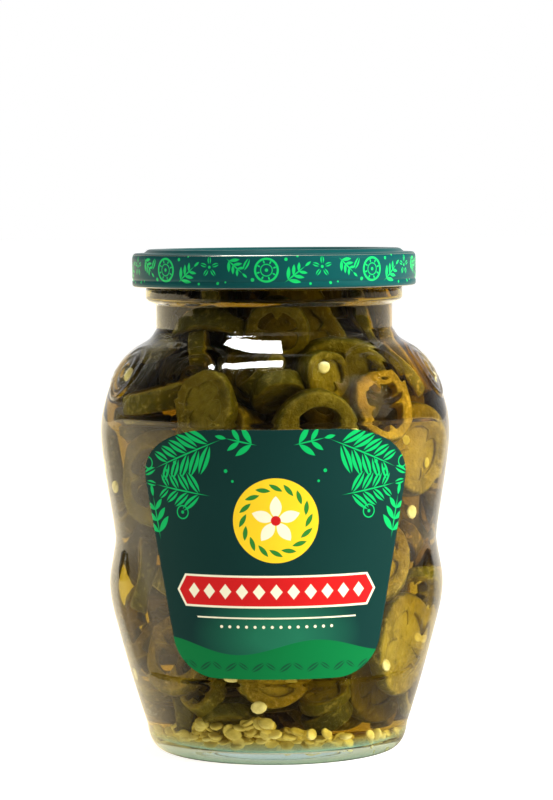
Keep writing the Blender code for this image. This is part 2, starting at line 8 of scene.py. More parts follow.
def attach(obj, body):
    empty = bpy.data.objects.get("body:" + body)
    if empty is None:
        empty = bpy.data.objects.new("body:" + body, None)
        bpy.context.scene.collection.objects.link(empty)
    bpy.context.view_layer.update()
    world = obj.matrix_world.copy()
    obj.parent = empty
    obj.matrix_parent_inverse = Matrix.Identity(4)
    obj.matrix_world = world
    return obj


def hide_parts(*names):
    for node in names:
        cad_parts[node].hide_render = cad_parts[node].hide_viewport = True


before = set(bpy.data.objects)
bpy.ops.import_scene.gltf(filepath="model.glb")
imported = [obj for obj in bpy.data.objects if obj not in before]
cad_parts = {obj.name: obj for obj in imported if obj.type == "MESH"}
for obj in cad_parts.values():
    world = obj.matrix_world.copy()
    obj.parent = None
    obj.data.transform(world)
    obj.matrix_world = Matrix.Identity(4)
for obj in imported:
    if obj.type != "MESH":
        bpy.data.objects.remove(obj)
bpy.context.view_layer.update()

mm = 0.001
rng = np.random.default_rng(21)

# ---------- the jar's shape, as the CAD has it ----------

jarShape = {
    "columns": 288,
    "neck": 0.0359,
    "bore": 0.0339,
    "rimZ": 0.1493,
    "wall": 0.0026,
    "foot": (0.0290, 0.0350),
    "pushUp": 0.0020,
    "heel": (0.0048, 0.0086),
    "floorZ": 0.0040,
    "floorRadius": 0.0322,
    "innerHeelZ": 0.0145,
    "bead": (0.1352, 0.1402, 0.0390),
    "threadWall": 0.0382,
    "contour": [  # (radius, height) of the side: belly, grip waist, shoulder bulge
        (0.0399, 0.0078), (0.0421, 0.0146), (0.0448, 0.0237), (0.0481, 0.0359), (0.0503, 0.0450),
        (0.0508, 0.0520), (0.0496, 0.0597), (0.0490, 0.0640), (0.0495, 0.0690), (0.0505, 0.0754),
        (0.0519, 0.0845), (0.0529, 0.0930), (0.0530, 0.0985), (0.0523, 0.1035), (0.0499, 0.1115),
        (0.0467, 0.1175), (0.0421, 0.1222), (0.0380, 0.1249), (0.0362, 0.1274),
    ],
    "brow": [  # (radius, height) of the fuller corner at front and back
        (0.0467, 0.1175), (0.0422, 0.1222), (0.0410, 0.1235), (0.0399, 0.1248), (0.0386, 0.1265), (0.0374, 0.1285),
        (0.0366, 0.1305), (0.0361, 0.1325), (0.0359, 0.1345),
    ],
}

panelShape = {
    "top": (0.1025, 0.0520),  # height, radius
    "bottom": (0.0242, 0.0441),
    "edge": 0.0020,
    "halves": (0.0395, 0.0545),  # half widths at bottom and top
    "corner": (0.0150, 0.0060),
    "blend": 0.0120,
}

labelShape = {
    "bottom": 0.0268,
    "top": 0.1003,
    "halves": (0.0305, 0.0463),
    "bottomCorner": (0.0130, 0.0110),
    "topCorner": (0.0290, 0.0158),
    "gap": 0.00025,
    "thickness": 0.00012,
    "across": 96,
    "up": 80,
}


# a Catmull-Rom curve through the points, `steps` points for each stretch
def smoothThrough(points, steps):
    pts = np.array(points)
    ends = np.vstack([2 * pts[0] - pts[1], pts, 2 * pts[-1] - pts[-2]])
    t = np.linspace(0, 1, steps, endpoint=False)[:, None]
    curve = [0.5 * (2 * b + (c - a) * t + (2 * a - 5 * b + 4 * c - d) * t**2 + (3 * b - a - 3 * c + d) * t**3)
             for a, b, c, d in zip(ends, ends[1:], ends[2:], ends[3:])]
    return np.vstack(curve + [pts[-1:]])


# x * x * (3 - 2x) between 0 and 1
def ease(x):
    x = np.clip(x, 0, 1)
    return x * x * (3 - 2 * x)


sideContour = smoothThrough(jarShape["contour"], 12)


# the contour moved in along its own normals
def insetContour(depth, narrowest):
    tangent = np.gradient(sideContour, axis=0)
    tangent /= np.linalg.norm(tangent, axis=1)[:, None]
    inside = sideContour + depth * np.column_stack([-tangent[:, 1], tangent[:, 0]])
    inside[:, 0] = np.maximum(inside[:, 0], narrowest)
    return inside


innerContour = insetContour(jarShape["wall"], jarShape["bore"])


# half the width of a trapezoid with quarter-ellipse corners, at height z
def roundTrapezoid(z, low, high, halves, lowCorner, highCorner):
    half = halves[0] + (z - low) / (high - low) * (halves[1] - halves[0])
    for corner, into in ((lowCorner, (low - z) / lowCorner[1]), (highCorner, (z - high) / highCorner[1])):
        half = half - corner[0] * (1 - np.sqrt(1 - np.clip(into + 1, 0, 1)**2))
    return half


def labelHalf(z):
    return roundTrapezoid(z, labelShape["bottom"], labelShape["top"], labelShape["halves"],
                          labelShape["bottomCorner"], labelShape["topCorner"])


# the cone that the label lies on
def panelRadius(z):
    (highZ, highR), (lowZ, lowR) = panelShape["top"], panelShape["bottom"]
    return lowR + (z - lowZ) / (highZ - lowZ) * (highR - lowR)


# how far the front and back panels are let in: an eased mask times the depth of the cone below the side
def panelDepth(angle, z):
    (highZ, highR), (lowZ, lowR) = panelShape["top"], panelShape["bottom"]
    side = np.interp(z, sideContour[:, 1], sideContour[:, 0])
    fromMiddle = np.abs((angle + math.pi) % math.pi - math.pi / 2)
    half = roundTrapezoid(np.clip(z, lowZ, highZ), lowZ, highZ, panelShape["halves"],
                          panelShape["corner"], panelShape["corner"])
    across = (half + panelShape["blend"] - panelRadius(z) * fromMiddle) / panelShape["blend"]
    mask = ease(across) * ease((highZ - z) / panelShape["edge"]) * ease((z - lowZ) / panelShape["edge"])
    return mask * np.maximum(side - panelRadius(z), 0)


# at front and back the corner between neck and shoulder is fuller: added radius = (full - side) * eased mask
def browGrowth(angle, z):
    full = smoothThrough(jarShape["brow"], 8)
    side = np.interp(z, sideContour[:, 1], sideContour[:, 0])
    fromMiddle = np.abs((angle + math.pi) % math.pi - math.pi / 2)
    mask = ease((math.radians(56) - fromMiddle) / math.radians(24))
    inside = (z > full[0, 1]) & (z < full[-1, 1])
    return mask * inside * np.maximum(np.interp(z, full[:, 1], full[:, 0]) - side, 0)


# ---------- meshes from arrays ----------

def meshFrom(name, points, faces, smooth=True):
    mesh = bpy.data.meshes.new(name)
    mesh.from_pydata(points.tolist(), [], faces)
    mesh.validate()
    if smooth:
        mesh.shade_smooth()
    piece = bpy.data.objects.new(name, mesh)
    bpy.context.scene.collection.objects.link(piece)
    return piece


# quads of a rows x columns grid of vertex numbers, joined round its columns and, if asked, its rows
def gridFaces(rows, columns, start=0, roundColumns=True, roundRows=False):
    i, j = np.meshgrid(np.arange(rows if roundRows else rows - 1),
                       np.arange(columns if roundColumns else columns - 1), indexing="ij")
    i2, j2 = (i + 1) % rows, (j + 1) % columns
    quads = np.stack([i * columns + j, i * columns + j2, i2 * columns + j2, i2 * columns + j], axis=-1)
    return (quads.reshape(-1, 4) + start).tolist()


# a profile of (radius, height) turned about Z; the profile may start and end on the axis
def turnedPiece(name, profile, columns, moveIn=None):
    profile = np.array(profile)
    poleLow, poleHigh = profile[0, 0] == 0, profile[-1, 0] == 0
    body = profile[1 if poleLow else 0:len(profile) - (1 if poleHigh else 0)]
    angle, z = np.meshgrid(np.arange(columns) * 2 * math.pi / columns, body[:, 1])
    radius = body[:, :1] - (moveIn(angle, z) if moveIn else 0)
    points = np.stack([radius * np.cos(angle), radius * np.sin(angle), z], axis=-1).reshape(-1, 3)
    faces = gridFaces(len(body), columns, 0, True, not poleLow)
    column = np.arange(columns)
    after = (column + 1) % columns
    if poleLow:
        low, high = len(points), len(points) + 1
        points = np.vstack([points, (0, 0, profile[0, 1]), (0, 0, profile[-1, 1])])
        last = (len(body) - 1) * columns
        faces += np.stack([column, np.full(columns, low), after], axis=-1).tolist()
        faces += np.stack([last + column, last + after, np.full(columns, high)], axis=-1).tolist()
    return meshFrom(name, points, faces)


# a run of points that rounds a profile's corners: each inner corner becomes an arc of `steps` points
def roundedProfile(points, radius, steps=4):
    pts = np.array(points, float)
    result = [pts[0]]
    for before, corner, after in zip(pts, pts[1:], pts[2:]):
        a, b = before - corner, after - corner
        reach = min(radius, np.linalg.norm(a) * 0.45, np.linalg.norm(b) * 0.45)
        start, end = corner + a / np.linalg.norm(a) * reach, corner + b / np.linalg.norm(b) * reach
        t = np.linspace(0, 1, steps + 1)[:, None]
        result += list((1 - t)**2 * start + 2 * t * (1 - t) * corner + t**2 * end)
    return np.array(result + [pts[-1]])


def setFloat(piece, name, values):
    piece.data.attributes.new(name, "FLOAT", "POINT").data.foreach_set("value", np.asarray(values, np.float32))


# ---------- shader helpers ----------

def nodeMath(tree, operation, first, second=0.0, third=0.0, clamp=False):
    node = tree.nodes.new("ShaderNodeMath")
    node.operation = operation
    node.use_clamp = clamp
    for socket, value in zip(node.inputs, (first, second, third)):
        if isinstance(value, (int, float)):
            socket.default_value = value
        else:
            tree.links.new(value, socket)
    return node.outputs[0]


def nodeMix(tree, factor, first, second, blend="MIX"):
    node = tree.nodes.new("ShaderNodeMix")
    node.data_type = "RGBA"
    node.blend_type = blend
    for socket, value in zip((node.inputs[0], node.inputs[6], node.inputs[7]), (factor, first, second)):
        if isinstance(value, (int, float)):
            socket.default_value = value
        elif isinstance(value, tuple):
            socket.default_value = (*value, 1.0)
        else:
            tree.links.new(value, socket)
    return node.outputs[2]


# a ramp of (position, colour or value) stops
def nodeRamp(tree, factor, stops):
    node = tree.nodes.new("ShaderNodeValToRGB")
    ramp = node.color_ramp
    while len(ramp.elements) < len(stops):
        ramp.elements.new(0.5)
    for element, (position, colour) in zip(ramp.elements, stops):
        element.position = position
        element.color = (*colour, 1.0) if isinstance(colour, tuple) else (colour, colour, colour, 1.0)
    tree.links.new(factor, node.inputs[0])
    return node.outputs[0]


def nodeNoise(tree, vector, scale, detail=2.0, roughness=0.5):
    node = tree.nodes.new("ShaderNodeTexNoise")
    node.inputs["Scale"].default_value = scale
    node.inputs["Detail"].default_value = detail
    node.inputs["Roughness"].default_value = roughness
    tree.links.new(vector, node.inputs["Vector"])
    return node.outputs[0]


def objectPlace(tree):
    return tree.nodes.new("ShaderNodeTexCoord").outputs["Object"]


def nodeBump(tree, height, strength, distance):
    node = tree.nodes.new("ShaderNodeBump")
    node.inputs["Strength"].default_value = strength
    node.inputs["Distance"].default_value = distance
    tree.links.new(height, node.inputs["Height"])
    return node.outputs[0]


def attribute(tree, name):
    node = tree.nodes.new("ShaderNodeAttribute")
    node.attribute_name = name
    return node.outputs["Fac"]


def newMaterial(name, **sockets):
    made = bpy.data.materials.new(name)
    made.use_nodes = True
    shader = made.node_tree.nodes["Principled BSDF"]
    for key, value in sockets.items():
        shader.inputs[key.replace("_", " ")].default_value = (*value, 1.0) if isinstance(value, tuple) else value
    return made, made.node_tree, shader


# light and soft bounces pass straight through a clear wall, tinted; the eye sees the real refraction
def passLight(material, tint):
    tree = material.node_tree
    shader, output = tree.nodes["Principled BSDF"], tree.nodes["Material Output"]
    path = tree.nodes.new("ShaderNodeLightPath")
    straight = nodeMath(tree, "MAXIMUM", path.outputs["Is Shadow Ray"], path.outputs["Is Diffuse Ray"])
    # after many turns inside the glass a ray goes straight on too, or a thick foot would be black
    straight = nodeMath(tree, "MAXIMUM", straight, nodeMath(tree, "GREATER_THAN", path.outputs["Ray Depth"], 4.5))
    clear = tree.nodes.new("ShaderNodeBsdfTransparent")
    clear.inputs["Color"].default_value = (*tint, 1.0)
    mix = tree.nodes.new("ShaderNodeMixShader")
    tree.links.new(straight, mix.inputs[0])
    tree.links.new(shader.outputs[0], mix.inputs[1])
    tree.links.new(clear.outputs[0], mix.inputs[2])
    tree.links.new(mix.outputs[0], output.inputs["Surface"])


# the longer the way through, the deeper the colour
def absorbInside(material, look):
    tree = material.node_tree
    depth = tree.nodes.new("ShaderNodeVolumeAbsorption")
    depth.inputs["Color"].default_value = (*look["absorbs"], 1.0)
    depth.inputs["Density"].default_value = look["density"]
    tree.links.new(depth.outputs[0], tree.nodes["Material Output"].inputs["Volume"])


# ---------- marks for the printed artwork ----------

def groupSockets(group, inputs, output):
    for name, value in inputs:
        group.interface.new_socket(name, in_out="INPUT", socket_type="NodeSocketFloat").default_value = value
    group.interface.new_socket(output, in_out="OUTPUT", socket_type="NodeSocketFloat")
    return group.nodes.new("NodeGroupInput").outputs, group.nodes.new("NodeGroupOutput").inputs[0]


# a pointed leaf: half width = Width * (1 - (along / Length)^2), with a bare vein down its middle
def makeLeafMark():
    group = bpy.data.node_groups.new("leafMark", "ShaderNodeTree")
    got, out = groupSockets(group, [("Across", 0), ("Up", 0), ("At Across", 0), ("At Up", 0), ("Turn", 0),
                                    ("Length", 1), ("Width", 0.3), ("Vein", 0), ("Edge", 0.12)], "Mask")
    dx = nodeMath(group, "SUBTRACT", got["Across"], got["At Across"])
    dy = nodeMath(group, "SUBTRACT", got["Up"], got["At Up"])
    cos, sin = nodeMath(group, "COSINE", got["Turn"]), nodeMath(group, "SINE", got["Turn"])
    along = nodeMath(group, "ADD", nodeMath(group, "MULTIPLY", dx, cos), nodeMath(group, "MULTIPLY", dy, sin))
    side = nodeMath(group, "ABSOLUTE", nodeMath(group, "SUBTRACT", nodeMath(group, "MULTIPLY", dy, cos),
                                                nodeMath(group, "MULTIPLY", dx, sin)))
    share = nodeMath(group, "DIVIDE", along, got["Length"])
    bow = nodeMath(group, "SUBTRACT", 1.0, nodeMath(group, "MULTIPLY", share, share))
    room = nodeMath(group, "SUBTRACT", nodeMath(group, "MULTIPLY", bow, got["Width"]), side)
    mask = nodeMath(group, "DIVIDE", room, got["Edge"], clamp=True)
    vein = nodeMath(group, "DIVIDE", nodeMath(group, "SUBTRACT", side, got["Vein"]), got["Edge"], clamp=True)
    bare = nodeMath(group, "MAXIMUM", vein, nodeMath(group, "LESS_THAN", got["Vein"], 0.001))
    group.links.new(nodeMath(group, "MULTIPLY", mask, bare), out)
    return group


# a ring: |distance - Radius| under half the Thickness; Radius 0 gives a dot
def makeRingMark():
    group = bpy.data.node_groups.new("ringMark", "ShaderNodeTree")
    got, out = groupSockets(group, [("Across", 0), ("Up", 0), ("At Across", 0), ("At Up", 0), ("Radius", 1),
                                    ("Thickness", 0.3), ("Edge", 0.12)], "Mask")
    dx = nodeMath(group, "SUBTRACT", got["Across"], got["At Across"])
    dy = nodeMath(group, "SUBTRACT", got["Up"], got["At Up"])
    distance = nodeMath(group, "SQRT", nodeMath(group, "ADD", nodeMath(group, "MULTIPLY", dx, dx),
                                                nodeMath(group, "MULTIPLY", dy, dy)))
    off = nodeMath(group, "ABSOLUTE", nodeMath(group, "SUBTRACT", distance, got["Radius"]))
    room = nodeMath(group, "SUBTRACT", nodeMath(group, "MULTIPLY", got["Thickness"], 0.5), off)
    group.links.new(nodeMath(group, "DIVIDE", room, got["Edge"], clamp=True), out)
    return group


leafMark, ringMark = makeLeafMark(), makeRingMark()


# the strongest of many marks; each mark is ("leaf", x, y, turn in degrees, length, width, vein) or ("ring", x, y, radius, thickness)
def drawMarks(tree, across, up, marks):
    result = None
    for mark in marks:
        node = tree.nodes.new("ShaderNodeGroup")
        node.node_tree = leafMark if mark[0] == "leaf" else ringMark
        tree.links.new(across, node.inputs["Across"])
        tree.links.new(up, node.inputs["Up"])
        node.inputs["At Across"].default_value = mark[1]
        node.inputs["At Up"].default_value = mark[2]
        if mark[0] == "leaf":
            node.inputs["Turn"].default_value = math.radians(mark[3])
            node.inputs["Length"].default_value = mark[4]
            node.inputs["Width"].default_value = mark[5]
            node.inputs["Vein"].default_value = mark[6] if len(mark) > 6 else 0
        else:
            node.inputs["Radius"].default_value = mark[3]
            node.inputs["Thickness"].default_value = mark[4]
        result = node.outputs[0] if result is None else nodeMath(tree, "MAXIMUM", result, node.outputs[0])
    return result


# a sprig's marks: a straight stem with pairs of leaves that shorten towards its tip
def sprigMarks(x, y, turn, length, pairs, leaf, width, vein=0.0, spread=48):
    c, s = math.cos(math.radians(turn)), math.sin(math.radians(turn))
    marks = [("leaf", x + c * length / 2, y + s * length / 2, turn, length / 2, 0.28)]
    for i in range(pairs):
        t = length * (0.18 + 0.72 * i / pairs)
        size = leaf * (1 - 0.45 * i / pairs)
        for side in (-1, 1):
            angle = math.radians(turn + side * spread)
            marks.append(("leaf", x + c * t + math.cos(angle) * size, y + s * t + math.sin(angle) * size,
                          turn + side * spread, size, width * (1 - 0.3 * i / pairs), vein))
    marks.append(("leaf", x + c * (length + leaf * 0.4), y + s * (length + leaf * 0.4), turn, leaf * 0.6, width * 0.7, vein))
    return marks


# ---------- glass ----------

glassLook = {"tint": (0.975, 0.99, 0.98), "roughness": 0.0, "ior": 1.5, "deep": (0.08, 0.30, 0.25)}
embossShape = {  # turns round the jar from the front, in degrees, of the raised curls on the shoulder
    "turns": (-70, -30, 40, 78, 110, 150, 220, 258),
    "z": 0.1165,
    "radius": 0.0092,
    "pitch": 0.0044,
    "height": 0.00045,
    "line": 0.00080,
}


# a raised curl and the ring round it: ridge height = Gauss bell of the distance to the nearest turn of the curl
def emboss(angle, z):
    along = np.interp(z, sideContour[:, 1], contourLength)
    middle = np.interp(embossShape["z"], sideContour[:, 1], contourLength)
    radius = np.interp(z, sideContour[:, 1], sideContour[:, 0])
    up = along - middle
    total = np.zeros_like(angle)
    for turn in embossShape["turns"]:
        centre = math.radians(turn - 90)
        across = ((angle - centre + math.pi) % (2 * math.pi) - math.pi) * radius
        reach, bearing = np.hypot(across, up), np.arctan2(up, across)
        curl = (reach / embossShape["pitch"] - bearing / (2 * math.pi) + 0.5) % 1 - 0.5
        ridge = np.exp(-(curl * embossShape["pitch"] / embossShape["line"])**2)
        inside = ease((embossShape["radius"] - 0.0017 - reach) / 0.0006) * ease(reach / 0.0012)
        ring = np.exp(-((reach - embossShape["radius"]) / embossShape["line"])**2)
        total = np.maximum(total, np.maximum(ridge * inside, ring))
    return total * embossShape["height"]


contourLength = np.concatenate([[0], np.cumsum(np.linalg.norm(np.diff(sideContour, axis=0), axis=1))])


# a quarter-ellipse from a foot out and up
def heelCurve(foot, width, height, low, steps, turn=90):
    t = np.radians(np.linspace(0, turn, steps + 1)[1:])
    return np.column_stack([foot + width * np.sin(t), low + height * (1 - np.cos(t))])


# the inside of the glass from the floor's edge to the bore, moved out by `grow`
def cavityProfile(grow=0.0, topZ=0.1340):
    s = jarShape
    inner = lambda z: np.interp(z, innerContour[:, 1], innerContour[:, 0])
    heel = heelCurve(s["floorRadius"], inner(s["innerHeelZ"]) - s["floorRadius"], s["innerHeelZ"] - s["floorZ"],
                     s["floorZ"], 12)
    z = np.concatenate([np.linspace(0.0155, 0.0242, 8), np.linspace(0.0246, 0.0268, 6), np.linspace(0.030, 0.098, 40),
                        np.linspace(0.0992, 0.1030, 8), np.linspace(0.1042, 0.1256, 34)])
    rows = np.vstack([[(0, s["floorZ"] + 0.0008)], [(0.014, s["floorZ"] + 0.0006)], [(s["floorRadius"], s["floorZ"])],
                      heel, np.column_stack([inner(z), z]), [(s["bore"], 0.1270), (s["bore"], topZ)]])
    if grow:
        rows[:, 0] = np.where(rows[:, 0] > 0, rows[:, 0] + grow, 0)
        rows[:3, 1] -= grow
    return rows


def jarProfile():
    s = jarShape
    outer = lambda z: np.interp(z, sideContour[:, 1], sideContour[:, 0])
    (inFoot, outFoot), (beadLow, beadHigh, beadRadius) = s["foot"], s["bead"]
    base = [(0, s["pushUp"]), (0.012, s["pushUp"] * 0.97), (0.020, s["pushUp"] * 0.86), (0.0245, s["pushUp"] * 0.55),
            (inFoot - 0.0008, 0.0006), (inFoot + 0.0004, 0.0001), (inFoot + 0.0012, 0), (outFoot - 0.0004, 0)]
    heel = heelCurve(outFoot, s["heel"][0], s["heel"][1], 0, 16, 80)
    z = np.concatenate([np.linspace(0.0085, 0.0238, 16), np.linspace(0.0242, 0.0264, 10), np.linspace(0.028, 0.0988, 54),
                        np.linspace(0.1003, 0.1027, 10), np.linspace(0.1032, 0.1268, 60)])
    neck = np.column_stack([np.full(14, s["neck"]), np.linspace(0.1278, 0.1342, 14)])
    finish = roundedProfile([
        (s["neck"], 0.1346), (s["neck"], beadLow), (beadRadius, beadLow + 0.0014), (beadRadius, beadHigh),
        (s["threadWall"], beadHigh + 0.0001), (s["threadWall"], s["rimZ"]), (s["bore"], s["rimZ"]),
        (s["bore"], 0.1345)], 0.0011, 5)
    inside = cavityProfile()[:-1][::-1]
    return np.vstack([base, heel, np.column_stack([outer(z), z]), neck, finish, inside])


def makeGlass(name, mirror):
    material, tree, shader = newMaterial(name, Transmission_Weight=1.0, Roughness=glassLook["roughness"],
                                         IOR=glassLook["ior"], Specular_Tint=mirror)
    place = objectPlace(tree)
    tint = nodeMix(tree, nodeNoise(tree, place, 25, 1), glassLook["tint"], (0.985, 0.995, 0.99))
    # the thick foot shows the glass's own green
    height = tree.nodes.new("ShaderNodeSeparateXYZ")
    tree.links.new(place, height.inputs[0])
    foot = nodeMath(tree, "SUBTRACT", 1.0, nodeMath(tree, "MULTIPLY", height.outputs[2], 130.0), clamp=True)
    tint = nodeMix(tree, foot, tint, glassLook["deep"])
    tree.links.new(tint, shader.inputs["Base Color"])
    # very slight waves in the wall
    tree.links.new(nodeBump(tree, nodeNoise(tree, place, 55, 1.5), 0.06, 0.0012), shader.inputs["Normal"])
    passLight(material, (0.97, 0.985, 0.975))
    return material


def buildJar():
    profile = jarProfile()
    split = int(np.argmax(profile[:, 1])) + 2  # rows past the rim belong to the inside, which has no curls

    def moveIn(angle, z):
        depth = panelDepth(angle, z)
        depth[:split] -= emboss(angle[:split], z[:split]) + browGrowth(angle[:split], z[:split])
        return depth

    jar = turnedPiece("glassJar", profile, jarShape["columns"], moveIn)
    # faces of the wall that the brine wets get the second material
    middles = np.zeros(len(jar.data.polygons) * 3)
    jar.data.polygons.foreach_get("center", middles)
    wetted = (np.arange(len(middles) // 3) > split * jarShape["columns"]) & (middles[2::3] < brineLook["top"])
    wetted &= middles[2::3] > jarShape["floorZ"] - 0.0005
    jar.data.polygons.foreach_set("material_index", wetted.astype(np.int32))
    joinInto(jar, threadRidges())
    jar.data.materials.append(makeGlass("clearJarGlass", (1.0, 1.0, 1.0)))
    jar.data.materials.append(makeGlass("wettedJarGlass", (0.06, 0.06, 0.06)))
    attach(jar, "jar")
    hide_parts("jar_glass")
    return jar


# moves the second object's mesh into the first
def joinInto(first, second):
    import bmesh
    bm = bmesh.new()
    bm.from_mesh(first.data)
    bm.from_mesh(second.data)
    bm.to_mesh(first.data)
    bm.free()
    bpy.data.objects.remove(second)


# six helical ridges: an oval section carried along the lead, tapered at both ends
def threadRidges():
    turn = np.linspace(-8, 36, 45)
    section = np.linspace(0, 2 * math.pi, 13)[:-1]
    parts, faces = [], []
    for lug in range(6):
        angle = np.radians(turn + lug * 60)[:, None]
        taper = np.sqrt(np.clip(1 - ((turn - 14) / 22.2)**4, 0.02, 1))[:, None]
        middle = 0.14185 + 0.012 * (turn[:, None] + 6) / 360 + 0.00075
        radius = 0.0381 + 0.0016 * np.cos(section)[None] * taper
        z = middle + 0.00072 * np.sin(section)[None] * taper
        points = np.stack([radius * np.cos(angle), radius * np.sin(angle), z], axis=-1).reshape(-1, 3)
        start = sum(len(p) for p in parts)
        faces += [face[::-1] for face in gridFaces(len(turn), 12, start)]
        faces += [[start + i for i in range(12)], [start + 44 * 12 + i for i in range(12)][::-1]]
        parts.append(points)
    return meshFrom("ridges", np.vstack(parts), faces)


# ---------- brine ----------

brineLook = {"ior": 1.34, "top": 0.1428, "overlap": 0.00012, "absorbs": (0.80, 0.70, 0.0), "density": 105}


def buildBrine():
    profile = cavityProfile(brineLook["overlap"], brineLook["top"])
    meniscus = [(jarShape["bore"] - 0.0004, brineLook["top"] - 0.0005), (jarShape["bore"] - 0.0014, brineLook["top"] - 0.0009),
                (jarShape["bore"] - 0.004, brineLook["top"] - 0.0010), (0.015, brineLook["top"] - 0.0010),
                (0, brineLook["top"] - 0.0010)]
    brine = turnedPiece("brineFill", np.vstack([profile, meniscus]), 192, panelDepth)
    material, tree, shader = newMaterial("pepperBrine", Transmission_Weight=1.0, Roughness=0.0, IOR=brineLook["ior"],
                                         Specular_Tint=(0.0, 0.0, 0.0))
    cloud = nodeNoise(tree, objectPlace(tree), 30, 3)
    colour = nodeRamp(tree, cloud, [(0.3, (0.90, 0.86, 0.66)), (0.7, (0.97, 0.95, 0.80))])
    tree.links.new(colour, shader.inputs["Base Color"])
    passLight(material, (0.97, 0.95, 0.85))
    absorbInside(material, brineLook)
    brine.data.materials.append(material)
    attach(brine, "jar")
    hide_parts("brine")


# ---------- pepper slices ----------

sliceLook = {"around": 60, "section": 24, "wallShare": 0.33, "bend": 0.09, "dent": 0.016,
             "pulpShare": 0.5}


# a slice in its own frame, axis +Z: a ring whose section is a rounded rectangle between a wavy outer edge and an
# inner edge that swells in at the ribs; cut a little wedge-shaped, bent like a saddle, on some with pulp in the middle
def sliceArrays(radius, thickness, seed, pulp):
    own = np.random.default_rng(seed)
    n, m = sliceLook["around"], sliceLook["section"]
    turn = np.arange(n)[:, None] * 2 * math.pi / n
    lobes = own.integers(3, 5)
    phase = own.uniform(0, 2 * math.pi, 5)
    outer = radius * (1 - 0.022 * (1 + np.cos(lobes * turn + phase[0])) - 0.020 * (1 + np.cos(2 * turn + phase[1])))
    ribs = np.clip(np.cos(lobes * turn + phase[0]), 0, 1)**8
    wall = radius * sliceLook["wallShare"] * (1 + 0.12 * np.cos(2 * turn + phase[2])) + radius * 0.30 * ribs
    half = thickness / 2 * (0.90 + 0.10 * np.cos(turn + phase[3]))
    section = np.arange(m)[None] * 2 * math.pi / m
    c, s = np.cos(section), np.sin(section)
    shapeOut, shapeUp = np.sign(c) * np.abs(c)**0.42, np.sign(s) * np.abs(s)**0.34
    r = outer - wall / 2 + wall / 2 * shapeOut * (1 + 0.05 * np.cos(3 * section))
    sink = 1 - 0.22 * ease((outer - r) / (radius * 0.75))  # the cut face dips towards the ribs
    z = half * shapeUp * sink
    points = np.stack([r * np.cos(turn), r * np.sin(turn), z], axis=-1).reshape(-1, 3)
    faces = gridFaces(n, m, 0, True, True)
    skins = [np.broadcast_to(ease((c - 0.62) / 0.20), r.shape).ravel()]
    inners = [np.broadcast_to(ease((-c - 0.10) / 0.7), r.shape).ravel()]
    if pulp:
        u, v = np.meshgrid(np.arange(40) * math.pi / 20, np.linspace(-math.pi / 2, math.pi / 2, 15)[1:-1])
        reach = radius * 0.74 * np.cos(v)**0.55
        lump = 0.52 + 0.10 * np.cos(lobes * u + phase[0]) * (reach / radius) + 0.07 * np.sin(5 * u + phase[4]) * np.sin(reach * 900)
        z = thickness / 2 * lump * np.sign(np.sin(v)) * np.abs(np.sin(v))**0.6
        ball = np.stack([reach * np.cos(u), reach * np.sin(u), z], axis=-1).reshape(-1, 3)
        start, last = len(points), len(points) + 12 * 40
        points = np.vstack([points, ball, (0, 0, -thickness * 0.27), (0, 0, thickness * 0.27)])
        faces += gridFaces(13, 40, start)
        column, after = np.arange(40), (np.arange(40) + 1) % 40
        faces += np.stack([start + column, np.full(40, last + 40), start + after], axis=-1).tolist()
        faces += np.stack([last + column, last + after, np.full(40, last + 41)], axis=-1).tolist()
        skins.append(np.zeros(len(ball) + 2))
        inners.append(np.ones(len(ball) + 2))
    bend = sliceLook["bend"] * own.uniform(-1, 1)
    points[:, 2] += bend * (points[:, 0]**2 - points[:, 1]**2) / radius
    # soft dents: three slow waves in random directions
    for _ in range(3):
        wave, push = own.normal(size=3), own.normal(size=3)
        dent = np.sin(points @ wave * (1.6 / radius) + own.uniform(0, 2 * math.pi))
        points = points + dent[:, None] * push * radius * sliceLook["dent"]
    return points, faces, np.concatenate(skins), np.concatenate(inners)


# painted light and tone per slice: redder and lighter towards the right and on the right shoulder, where the light
# comes from, painted shade darker at the top middle, and mixed at random from slice to slice
def sliceTone(centre):
    x, _, z = centre
    high = float(ease((z - 0.085) / 0.015))
    lit = 6.0 * x * (0.20 + 0.80 * float(ease((z - 0.025) / 0.03))) + 0.55 * high * float(ease((x - 0.018) / 0.012))
    shaded = 0.42 * high * math.exp(-(x / 0.022)**2)
    return float(np.clip(0.42 + lit - shaded + rng.normal() * 0.20, 0, 1))


# where a CAD slice lies: centre, turn and size from the spread of its points; its axis is the direction of least spread
def cadPlace(node):
    co = np.zeros(len(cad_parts[node].data.vertices) * 3)
    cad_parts[node].data.vertices.foreach_get("co", co)
    co = np.unique(np.round(co.reshape(-1, 3), 7), axis=0)
    centre = (co.min(0) + co.max(0)) / 2
    for _ in range(2):
        spread, axes = np.linalg.eigh(np.cov((co - centre).T))
        axes = axes[:, ::-1] * (1, 1, np.sign(np.linalg.det(axes[:, ::-1])))
        local = (co - centre) @ axes
        centre = centre + axes @ ((local.min(0) + local.max(0)) / 2)
    local = (co - centre) @ axes
    return centre, axes, np.hypot(local[:, 0], local[:, 1]).max(), np.ptp(local[:, 2])
